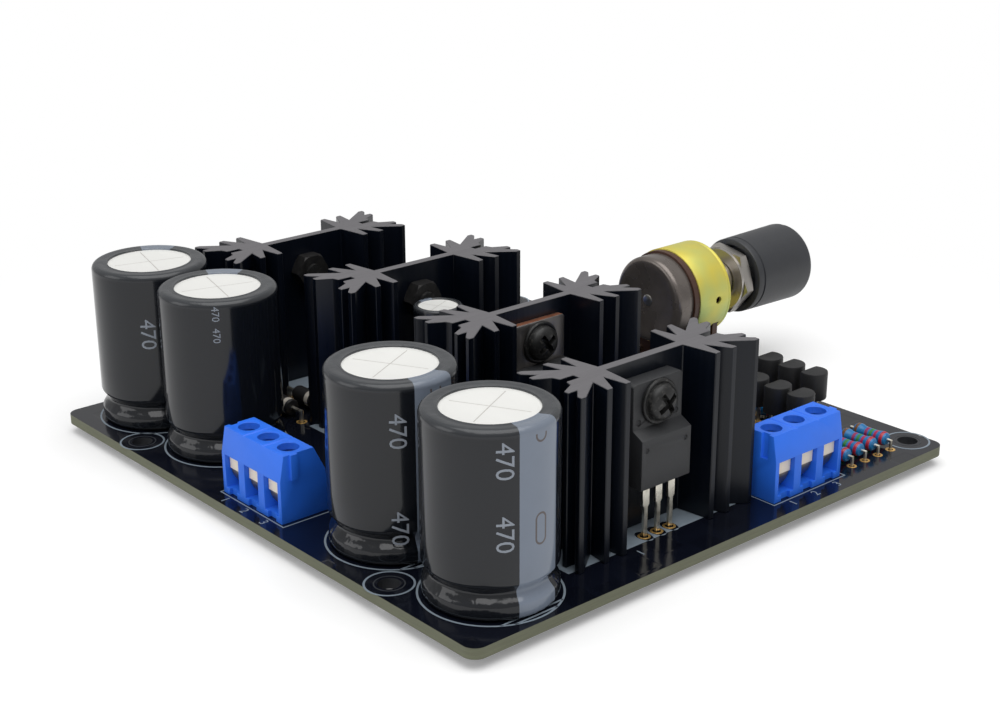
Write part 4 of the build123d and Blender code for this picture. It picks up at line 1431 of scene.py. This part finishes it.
class PREAMP_OT_heatsinks(bpy.types.Operator):
    """Anodise the heatsinks and soften their edges"""
    bl_idname = "preamp.heatsinks"
    bl_label = "Heatsinks"

    def execute(self, context):
        sizes = context.scene.preamp_heatsink
        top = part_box("heatsink_1")[1].z
        coat = anodised_finish(sizes, top - 0.6 * sizes.edge)
        for number in NUMBERS:
            node = f"heatsink_{number}"
            fins = softened(node, f"heatsink_extrusion_{number}", sizes.edge, 1)
            finish_piece(fins, coat, replaces=[node], slot="heatsink", smooth=20)
        return {"FINISHED"}


class PREAMP_OT_regulators(bpy.types.Operator):
    """Mould the regulators, their tabs and their leads"""
    bl_idname = "preamp.regulators"
    bl_label = "Regulators"

    def execute(self, context):
        sizes = context.scene.preamp_regulator
        compound = moulding_finish("moulding_compound", 1.0)
        tin = tinned_finish()
        for number in NUMBERS:
            node = f"regulator_body_{number}"
            body = as_object(f"regulator_moulding_{number}", merged(node))
            cut_away(body, self.ejector_marks(number))
            rounded(body, sizes.edge)
            finish_piece(body, compound, replaces=[node], slot="moulding")
            node = f"regulator_leads_{number}"
            leads = softened(node, f"regulator_tinned_leads_{number}", sizes.lead_edge, 1)
            finish_piece(leads, tin, replaces=[node], slot="tinned")
            node = f"regulator_tab_{number}"
            if node in NODES:
                self.tab(sizes, number, node)
        return {"FINISHED"}

    def tab(self, sizes, number, node):
        """Bare metal tab, sheared at its edges."""
        sheared = 0.16 * MM
        low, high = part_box(node)
        metal = tab_finish(number, centre(low, high).x, (high.x - low.x) / 2 - sheared)
        tab = softened(node, f"regulator_metal_tab_{number}", sizes.tab_edge)
        finish_piece(tab, metal, replaces=[node], slot="tab")

    def ejector_marks(self, number):
        """Shallow round marks that the mould's pins leave on the face away from the web."""
        low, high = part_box(f"regulator_body_{number}")
        middle = centre(low, high)
        side = regulator_side(number)
        face, back = (high.x, low.x) if side > 0 else (low.x, high.x)
        full_moulding = f"regulator_tab_{number}" not in NODES
        thin_part, depth = 2.7 * MM, 0.5 * MM
        # Face, half distance, drop from the top and radius of each pair of marks
        pairs = [(face, 3.8, 9.3 if full_moulding else 1.6, 0.35)]
        if full_moulding:
            pairs.append((back + side * thin_part, 3.7, 5.75, 0.42))
        shapes = []
        for x, half, drop, radius in pairs:
            for end in (-1, 1):
                spot = Matrix.Translation((x, middle.y + end * half * MM, high.z - drop * MM))
                shapes.append(rod_shape(radius * MM, depth, spot @ turned(90, "Y"), 16))
        return joined(shapes)


class PREAMP_OT_fixings(bpy.types.Operator):
    """Fit the flanged cross-recess screws and their nuts"""
    bl_idname = "preamp.fixings"
    bl_label = "Fixing screws and nuts"

    def execute(self, context):
        sizes = context.scene.preamp_regulator
        screws = sorted(islands("regulator_screws"), key=lambda entry: entry[0].x)
        shapes = [
            self.screw(sizes, low, high, regulator_side(number))
            for number, (low, high, foot) in zip(NUMBERS, screws)
        ]
        piece = as_object("fixing_screws", joined(shapes))
        finish_piece(piece, black_screw_finish(), replaces=["regulator_screws"], slot="black_steel")
        nuts = islands("regulator_nuts")
        low, high, foot = nuts[0]
        unit = self.nut(sizes, high.x - low.x)
        spots = [centre(low, high) for low, high, foot in nuts]
        facings = [ALONG_X] * len(spots)
        dull = dull_nut_finish()
        set_out("fixing_nuts", unit, spots, facings, dull, replaces=["regulator_nuts"], slot="plated")
        return {"FINISHED"}

    def head_profile(self, sizes, radius):
        """Outline of a head in millimetres: flange, groove round the dome, and the dome."""
        head, flange = sizes.head_height / MM, sizes.flange / MM
        dome = radius * sizes.dome_share
        chamfer, spring, skirt = 0.15, flange - 0.12, flange + 0.4
        crown = dome - 0.02
        profile = [(0, 0), (radius - 0.08, 0), (radius, 0.1), (radius, flange - chamfer),
                   (radius - chamfer, flange), (dome + 0.25, flange), (dome + 0.05, spring),
                   (dome, spring + 0.05), (crown, skirt)]
        for k in range(1, 7):
            angle = math.radians(90 * k / 7)
            rise = (head - skirt) * math.sin(angle)
            profile.append((crown * math.cos(angle) ** 0.8, skirt + rise))
        return profile + [(0, head)]

    def screw(self, sizes, low, high, side):
        """Flanged head with its cross recess, and threaded shank, along X."""
        middle = centre(low, high)
        radius = (high.y - low.y) / 2 / MM
        piece = as_object("screw_head", lathe(self.head_profile(sizes, radius), 40))
        above = 0.2 * MM
        depth = sizes.recess_depth + above
        for turn in (0, math.pi / 2):
            place = Matrix.Translation((0, 0, sizes.head_height - depth / 2 + above))
            place = place @ Matrix.Rotation(sizes.recess_turn + turn, 4, "Z")
            cut_away(piece, box_shape(2 * sizes.recess, sizes.recess_width, depth, place))
        rounded(piece, FINE_EDGE, 1, 40)
        end = high.x if side < 0 else low.x
        seat = low.x + sizes.head_height if side < 0 else high.x - sizes.head_height
        spot = Matrix.Translation((seat, middle.y, middle.z))
        head = moved(as_shape(piece), spot @ turned(90 * side, "Y"))
        back = spot @ turned(-90 * side, "Y")
        return joined([head, threaded("shank", sizes.shank, sizes.thread_pitch, abs(end - seat), back)])

    def nut(self, sizes, thickness):
        """Chamfered hexagon nut with its bore, about Z."""
        corner = sizes.nut_flats / math.sqrt(3)
        piece = as_object("nut_unit", rod_shape(corner, thickness, Matrix.Identity(4), 6))
        shave_corners(piece, corner, thickness, Matrix.Identity(4))
        bore = sizes.shank - 0.05 * MM
        return cut_away(piece, rod_shape(bore, thickness * 2, Matrix.Identity(4), 24))


class PREAMP_OT_terminals(bpy.types.Operator):
    """Mould the terminal housings and finish their metal parts"""
    bl_idname = "preamp.terminals"
    bl_label = "Screw terminals"

    def execute(self, context):
        sizes = context.scene.preamp_terminal
        blue = housing_finish(sizes.blue)
        steel = bright_screw_finish()
        for name in TERMINALS:
            node = f"{name}_terminal_housing"
            housing = as_object(f"{name}_housing_moulding", merged(node))
            cut_away(housing, joined(self.grooves(sizes, name)))
            rounded(housing, sizes.edge)
            finish_piece(housing, blue, replaces=[node], slot="terminal")
            for pole in POLES:
                node = f"{name}_terminal_screw_{pole}"
                screw = self.clamp_screw(sizes, node, name == "supply")
                finish_piece(screw, steel, body=f"{name}_screw_{pole}", replaces=[node], slot="screw")
        tinned = contact_finish()
        paint_node("terminal_contacts", tinned)
        paint_node("terminal_leaves", leaf_finish("terminal_leaf"))
        self.front_plates(sizes, tinned)
        self.collars(sizes, blue)
        return {"FINISHED"}

    def grooves(self, sizes, name):
        """Three-cornered cuts across the top between the poles."""
        length = 12 * MM
        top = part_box(f"{name}_terminal_housing")[1].z
        screws = screw_middles(name)
        shapes = []
        for first, second in zip(screws, screws[1:]):
            middle = centre(first, second)
            along_x = abs(second.x - first.x) > abs(second.y - first.y)
            spot = Matrix.Translation((middle.x, middle.y, top))
            place = spot @ turned(0 if along_x else 90, "Z") @ turned(45, "Y")
            shapes.append(box_shape(sizes.groove, length, sizes.groove, place))
        return shapes

    def front_plates(self, sizes, finish):
        """Front plate and hanging leaf of each contact, just inside its wire entry."""
        turns = {"supply": math.pi, "output": -math.pi / 2, "input": math.pi / 2}
        spots, facings = [], []
        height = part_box("terminal_contacts")[1].z - sizes.plate_height / 2
        for name, turn in turns.items():
            out = Vector((math.sin(turn), -math.cos(turn), 0.0))
            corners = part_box(f"{name}_terminal_housing")
            middle = centre(*corners)
            front = max(out.dot(corner - middle) for corner in corners)
            reach = front - sizes.plate_setback - sizes.plate_thickness / 2
            for screw in screw_middles(name):
                spot = screw + out * (reach - out.dot(screw - middle))
                spots.append((spot.x, spot.y, height))
                facings.append((0.0, 0.0, turn))
        plate = sizes.plate_width, sizes.plate_thickness, sizes.plate_height
        unit = rounded(as_object("plate_unit", box_shape(*plate, Matrix.Identity(4))), FINE_EDGE)
        set_out("contact_front_plates", unit, spots, facings, finish, slot="contact")
        unit = as_object("guide_unit", self.guide(sizes))
        dark = leaf_finish("terminal_guide")
        set_out("contact_guides", unit, spots, facings, dark, slot="contact")

    def guide(self, sizes):
        """Thin leaf curved down and back from under a front plate, which is centred on the origin."""
        top, half, steps = -sizes.plate_height / 2, sizes.guide_width / 2, 8
        thick = sizes.guide_thickness
        shape = bmesh.new()
        rows = []
        for k in range(steps + 1):
            share = k / steps
            back, z = sizes.guide_reach * share ** 2, top - sizes.guide_drop * share
            corners = ((-half, 0), (half, 0), (half, thick), (-half, thick))
            rows.append([shape.verts.new((x, back + y, z)) for x, y in corners])
        shape.faces.new(rows[0])
        shape.faces.new(rows[-1][::-1])
        for low, high in zip(rows, rows[1:]):
            for i in range(4):
                j = (i + 1) % 4
                shape.faces.new((low[i], high[i], high[j], low[j]))
        bmesh.ops.recalc_face_normals(shape, faces=shape.faces)
        return shape

    def collars(self, sizes, finish):
        """Rings in the mouths of the screw wells, a little narrower than the screws' heads."""
        well, inner, foot = sizes.well / MM, sizes.collar / MM, -sizes.collar_depth / MM
        mouth, lip = -0.02, 0.06
        outline = [(inner, foot), (well, foot), (well, mouth), (inner + lip, mouth),
                   (inner, mouth - lip), (inner, foot)]
        unit = as_object("collar_unit", closed_lathe(outline, 40, Matrix.Identity(4)))
        spots = []
        for name in TERMINALS:
            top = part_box(f"{name}_terminal_housing")[1].z
            spots += [(screw.x, screw.y, top) for screw in screw_middles(name)]
        facings = [(0.0, 0.0, 0.0)] * len(spots)
        set_out("screw_well_collars", unit, spots, facings, finish, slot="terminal")

    def clamp_screw(self, sizes, node, along_x):
        """Slotted head with a chamfer on a threaded shank."""
        low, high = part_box(node)
        middle = centre(low, high)
        radius, head = (high.x - low.x) / 2 / MM, sizes.head_height / MM
        under, chamfer = 0.1, 0.2
        profile = [(0, 0), (radius - under, 0), (radius, under), (radius, head - chamfer),
                   (radius - chamfer, head), (0, head)]
        piece = as_object(node.replace("terminal", "slotted"), lathe(profile, 36))
        slot = 8 * MM, sizes.slot_width, 2 * sizes.slot_depth
        cut_away(piece, box_shape(*slot, Matrix.Translation((0, 0, sizes.head_height))))
        seat = high.z - sizes.head_height
        place = Matrix.Translation((middle.x, middle.y, seat)) @ turned(0 if along_x else 90, "Z")
        down = Matrix.Translation((middle.x, middle.y, low.z))
        shank = threaded("shank", sizes.shank, sizes.thread_pitch, seat - low.z, down)
        name = piece.name
        return as_object(name, joined([moved(as_shape(piece), place), shank]))


class PREAMP_OT_potentiometer(bpy.types.Operator):
    """Dress the volume control: case, wafers, rear can, bushing, nut and shaft"""
    bl_idname = "preamp.potentiometer"
    bl_label = "Volume control"

    def execute(self, context):
        sizes = context.scene.preamp_pot
        axis = middle_of("pot_shaft")
        zinc = zinc_finish(sizes.zinc)
        nickel = plated_finish("nickel_plating", (0.36, 0.34, 0.32), (0.60, 0.57, 0.53))
        self.case(sizes, axis, zinc)
        self.bushing(sizes, axis, zinc, nickel)
        self.rear_can(sizes, axis)
        self.nut(axis, nickel)
        paint_node("pot_washer", nickel)
        paint_node("pot_wafers", wafer_finish())
        paint_node("pot_rotors", rotor_finish())
        paint_node("pot_shaft", plated_finish("turned_shaft", (0.55, 0.55, 0.56), (0.78, 0.78, 0.79)))
        return {"FINISHED"}

    def along_axis(self, axis, y, turn=90):
        """Matrix that turns Z to -Y, or to Y with a turn of -90, from a point on the axis."""
        return Matrix.Translation((axis.x, y, axis.z)) @ turned(turn, "X")

    def case(self, sizes, axis, zinc):
        """Plated case with a round hole in each side."""
        case = as_object("pot_zinc_case", merged("pot_case"))
        low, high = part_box("pot_case")
        radius, depth = (high.x - low.x) / 2, 2.4 * MM
        for side in (1, -1):
            spot = (axis.x + side * radius, low.y + sizes.hole_setback, axis.z)
            place = Matrix.Translation(spot) @ turned(90 * side, "Y")
            cut_away(case, rod_shape(sizes.hole, depth, place, 20))
        rounded(case, sizes.edge)
        finish_piece(case, zinc, replaces=["pot_case"], slot="pot_case")

    def bushing(self, sizes, axis, zinc, nickel):
        """Zinc front plate with a rounded rim, and the threaded bushing that stands on it."""
        low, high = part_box("pot_bushing")
        rim, length = (high.x - low.x) / 2 / MM, (high.y - low.y) / MM
        front, bore = sizes.plate / MM, sizes.bushing_bore / MM
        tube = sizes.bushing_radius / MM - 0.25
        chamfer, lap, end = 0.3, 0.1, 0.15
        inner = tube - lap
        back = self.along_axis(axis, high.y)
        plate = [(inner, 0), (rim - 0.05, 0), (rim, 0.08), (rim, front - chamfer),
                 (rim - chamfer, front), (inner, front), (inner, 0)]
        piece = as_object("pot_front_plate", closed_lathe(plate, 64, back))
        finish_piece(piece, zinc, replaces=["pot_bushing"], slot="pot_case")
        sleeve = [(bore, 0), (tube, 0), (tube, length - chamfer), (tube - end, length),
                  (bore, length), (bore, 0)]
        coil = threaded(
            "bushing_thread", sizes.bushing_radius, sizes.thread_pitch,
            (length - front - chamfer) * MM, self.along_axis(axis, high.y - sizes.plate), core=False,
        )
        bushing = as_object("pot_threaded_bushing", joined([closed_lathe(sleeve, 64, back), coil]))
        finish_piece(bushing, nickel, replaces=["pot_bushing"], slot="plated")

    def rear_can(self, sizes, axis):
        """Drawn can with a rounded back edge, open to the front, and its rivet."""
        low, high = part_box("pot_rear_can")
        radius, depth = (high.x - low.x) / 2 / MM, (high.y - low.y) / MM
        wall, bend = sizes.can_wall / MM, sizes.can_bend / MM
        dish = depth - 0.18
        floor = depth - wall - 0.2
        profile = [(0, floor), (radius - wall, floor), (radius - wall, 0), (radius, 0),
                   (radius, depth - bend)]
        profile += arc_points(radius - bend, depth - bend, bend, 10, 90, 6)
        profile += [(radius - 1.8, depth - 0.05), (radius - 2.2, dish), (0, dish)]
        inward = self.along_axis(axis, low.y, -90)
        can = as_object("pot_drawn_can", closed_lathe(profile, 72, inward))
        finish_piece(can, rear_can_finish(), replaces=["pot_rear_can"], slot="pot_can")
        head = sizes.rivet / MM
        under, edge, brow = depth - 0.3, depth - 0.12, depth - 0.03
        outline = [(0, under), (head, under), (head, edge), (head * 0.8, brow), (0, depth)]
        rivet = as_object("pot_rivet", moved(lathe(outline, 28), inward))
        finish_piece(rivet, bright_screw_finish())

    def nut(self, axis, nickel):
        """Hexagon nut with its corners chamfered."""
        low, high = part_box("pot_nut")
        piece = as_object("pot_hexagon_nut", merged("pot_nut"))
        corner = max(math.hypot(v.co.x - axis.x, v.co.z - axis.z) for v in piece.data.vertices)
        shave_corners(piece, corner, high.y - low.y, self.along_axis(axis, (low.y + high.y) / 2))
        finish_piece(piece, nickel, replaces=["pot_nut"], slot="plated")


class PREAMP_OT_knob(bpy.types.Operator):
    """Turn the knob with its rounded front and recessed back"""
    bl_idname = "preamp.knob"
    bl_label = "Volume knob"

    def execute(self, context):
        sizes = context.scene.preamp_knob
        low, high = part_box("volume_knob")
        axis = centre(low, high)
        profile = self.profile(sizes, (high.x - low.x) / 2 / MM, (high.y - low.y) / MM)
        place = Matrix.Translation((axis.x, high.y, axis.z)) @ turned(90, "X")
        knob = as_object("satin_volume_knob", closed_lathe(profile, 96, place))
        details = {"body": "volume_control", "replaces": ["volume_knob"], "slot": "knob"}
        finish_piece(knob, knob_finish(sizes), **details)
        return {"FINISHED"}

    def profile(self, sizes, front, length):
        """Outline from the shaft's hole over the hollow back and the grooved skirt to the front."""
        back, hollow, depth = front - sizes.taper / MM, front - sizes.wall / MM, sizes.recess_depth / MM
        bore, bore_end, edge = sizes.bore / MM, sizes.bore_depth / MM, sizes.front_edge / MM
        profile = [(0, bore_end), (bore, bore_end), (bore, depth), (hollow - 0.15, depth),
                   (hollow, depth - 0.15), (hollow, 0.15), (hollow + 0.12, 0)]
        profile += [(back - 0.25, 0), (back - 0.07, 0.07), (back, 0.25)]
        groove_start, groove_floor, groove_end, skirt_end = 1.2, 1.32, 1.6, 1.72
        groove, skirt = back - 0.14, back + 0.04
        profile += [(back + 0.02, groove_start), (groove, groove_floor), (groove, groove_end),
                    (skirt, skirt_end)]
        for share in (0.25, 0.5, 0.75):
            rise = skirt_end + (length - edge - skirt_end) * share
            profile.append((skirt + (front - skirt) * share, rise))
        profile += arc_points(front - edge, length - edge, edge, 0, 90, 8)
        return profile + [(front * 0.5, length), (0, length)]


class PREAMP_OT_small_parts(bpy.types.Operator):
    """Set out the resistors, diodes and transistors"""
    bl_idname = "preamp.small_parts"
    bl_label = "Resistors, diodes, transistors"

    # Outlines from one end to the middle in millimetres, as (radius, distance from the end)
    resistor_half = ((0, 0), (0.45, 0), (0.85, 0.12), (1.08, 0.45), (1.15, 0.85), (1.1, 1.25), (0.98, 1.6),
                     (0.93, 2.1))
    diode_half = ((0, 0), (1.0, 0), (1.25, 0.1), (1.35, 0.35), (1.35, 0.6), (1.35, 2.6))

    def execute(self, context):
        sizes = context.scene.preamp_small
        lacquer, band = resistor_finish(sizes), diode_finish(sizes)
        self.lay("resistor_bodies", "lacquered_resistors", self.resistor_half, 3.1, lacquer, "resistor")
        self.lay("diode_bodies", "moulded_diodes", self.diode_half, 2.6, band, "moulding")
        bodies = softened("transistor_bodies", "moulded_transistors", sizes.transistor_edge)
        moulding = moulding_finish("transistor_moulding", 0.45)
        finish_piece(bodies, moulding, replaces=["transistor_bodies"], slot="moulding")
        return {"FINISHED"}

    def lay(self, node, name, outline, half, finish, slot):
        """Turned bodies of a given half length in millimetres, lying along X at the node's places."""
        start = [(radius, rise - half) for radius, rise in outline]
        profile = start + [(radius, -rise) for radius, rise in reversed(start) if rise]
        unit = as_object(f"{name}_unit", lathe(profile, 28))
        along = unit.data.attributes.new("along", "FLOAT", "POINT")
        along.data.foreach_set("value", [v.co.z for v in unit.data.vertices])
        spots = [centre(low, high) for low, high, foot in islands(node)]
        facings = [ALONG_X] * len(spots)
        set_out(name, unit, spots, facings, finish, replaces=[node], slot=slot)


class PREAMP_OT_studio(bpy.types.Operator):
    """Set up the floor, the soft light and the camera"""
    bl_idname = "preamp.studio"
    bl_label = "Studio"

    def execute(self, context):
        scene = context.scene
        sizes = scene.preamp_stage
        low = min(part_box(node)[0].z for node in NODES)
        half = sizes.floor_side / 2
        shape = bmesh.new()
        shape.faces.new([shape.verts.new(spot) for spot in rectangle(0, 0, low, half, half)])
        floor = as_object("studio_floor", shape)
        floor.data.materials.append(self.floor_finish(sizes))
        self.world(scene, sizes)
        self.lamp("overhead_lamp", sizes.lamp_power, sizes.lamp_side, Vector(sizes.lamp_place))
        self.lamp("side_lamp", sizes.side_power, sizes.side_side, Vector(sizes.side_place))
        self.camera(scene, sizes)
        scene.view_settings.view_transform = "Standard"
        return {"FINISHED"}

    def floor_finish(self, sizes):
        """White paper that keeps the object's shadow and is plain white to the camera farther out."""
        paint = Paint("studio_paper")
        light = (1, 1, 1, 1)
        shade = paint.speckled((0.86, 0.86, 0.86), 0.01, 40.0)
        paper = paint.node("ShaderNodeBsdfDiffuse", {}, {"Color": shade})
        glow, white = [
            paint.node("ShaderNodeEmission", {}, {"Color": light, "Strength": strength})
            for strength in (sizes.floor_glow, 1.0)
        ]
        seen = paint.node("ShaderNodeLightPath", output="Is Camera Ray")
        distance = (paint.x * paint.x + paint.y * paint.y).math("SQRT")
        share = paint.ramp(distance, sizes.shadow_start, sizes.shadow_end)
        glowing = paint.node("ShaderNodeAddShader", {}, [paper, glow])
        near = paint.node("ShaderNodeMixShader", {}, [seen, paper, glowing])
        both = paint.node("ShaderNodeMixShader", {}, [seen * share, near, white])
        paint.node("ShaderNodeOutputMaterial", {}, {"Surface": both})
        return paint.material

    def world(self, scene, sizes):
        """White to the camera, softer in reflections and as light."""
        world = bpy.data.worlds.new("studio_surroundings")
        world.use_nodes = True
        world.node_tree.nodes.clear()
        graph = Graph(world.node_tree)
        path = graph.node("ShaderNodeLightPath").socket.node
        camera, glossy = [Value(graph, path.outputs[name]) for name in ("Is Camera Ray", "Is Glossy Ray")]
        unseen = glossy * (sizes.gloss - sizes.sky) + sizes.sky
        strength = camera.math("MAXIMUM", unseen)
        back = graph.node("ShaderNodeBackground", {}, {"Color": (1, 1, 1, 1), "Strength": strength})
        graph.node("ShaderNodeOutputWorld", {}, {"Surface": back})
        scene.world = world

    def lamp(self, name, power, side, place):
        """Square soft lamp aimed at the middle of the board."""
        light = bpy.data.lights.new(name, "AREA")
        light.energy = power
        light.size = side
        lamp = linked(name, light)
        lamp.location = place
        lamp.rotation_mode = "QUATERNION"
        lamp.rotation_quaternion = (-place).to_track_quat("-Z", "Y")

    def camera(self, scene, sizes):
        """Camera at the photograph's place behind the board's left corner."""
        camera = bpy.data.cameras.new("camera")
        camera.lens = sizes.focal_length
        camera.sensor_width = 36.0
        camera.clip_start = 0.005
        forward = Vector(sizes.camera_forward).normalized()
        right = forward.cross(Vector((0, 0, 1))).normalized()
        up = right.cross(forward)
        level = Matrix((right, up, -forward)).transposed().to_4x4()
        roll = Matrix.Rotation(sizes.camera_roll, 4, "Z")
        holder = linked("camera", camera)
        holder.matrix_world = Matrix.Translation(sizes.camera_place) @ level @ roll
        scene.camera = holder


GROUPS = {
    "preamp_board": BoardSizes, "preamp_solder": SolderSizes, "preamp_capacitor": CapacitorSizes,
    "preamp_heatsink": HeatsinkSizes, "preamp_regulator": RegulatorSizes,
    "preamp_terminal": TerminalSizes, "preamp_pot": PotSizes, "preamp_knob": KnobSizes,
    "preamp_small": SmallPartSizes, "preamp_stage": StageSizes,
}
OPERATORS = (
    PREAMP_OT_studio, PREAMP_OT_board, PREAMP_OT_solder, PREAMP_OT_capacitors, PREAMP_OT_heatsinks,
    PREAMP_OT_regulators, PREAMP_OT_fixings, PREAMP_OT_terminals, PREAMP_OT_potentiometer,
    PREAMP_OT_knob, PREAMP_OT_small_parts,
)


class PREAMP_PT_parts(bpy.types.Panel):
    """Lists the steps that dress the board"""
    bl_idname = "PREAMP_PT_parts"
    bl_label = "Preamplifier board"
    bl_space_type = "VIEW_3D"
    bl_region_type = "UI"
    bl_category = "Preamplifier"

    def draw(self, context):
        for operator in OPERATORS:
            self.layout.operator(operator.bl_idname)


def register():
    for group in GROUPS.values():
        bpy.utils.register_class(group)
    for name, group in GROUPS.items():
        setattr(bpy.types.Scene, name, bpy.props.PointerProperty(type=group))
    for operator in OPERATORS:
        bpy.utils.register_class(operator)
    bpy.utils.register_class(PREAMP_PT_parts)


def unregister():
    bpy.utils.unregister_class(PREAMP_PT_parts)
    for operator in reversed(OPERATORS):
        bpy.utils.unregister_class(operator)
    for name, group in GROUPS.items():
        delattr(bpy.types.Scene, name)
        bpy.utils.unregister_class(group)


def main():
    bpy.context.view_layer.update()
    register()
    TREES.update(
        set_out=set_out_tree(), joint=joint_tree(), line=line_tree(), field=field_tree(),
        thread=thread_tree(),
    )
    for operator in OPERATORS:
        step = operator.bl_idname.split(".")[1]
        getattr(bpy.ops.preamp, step)()


if __name__ == "__main__":
    main()
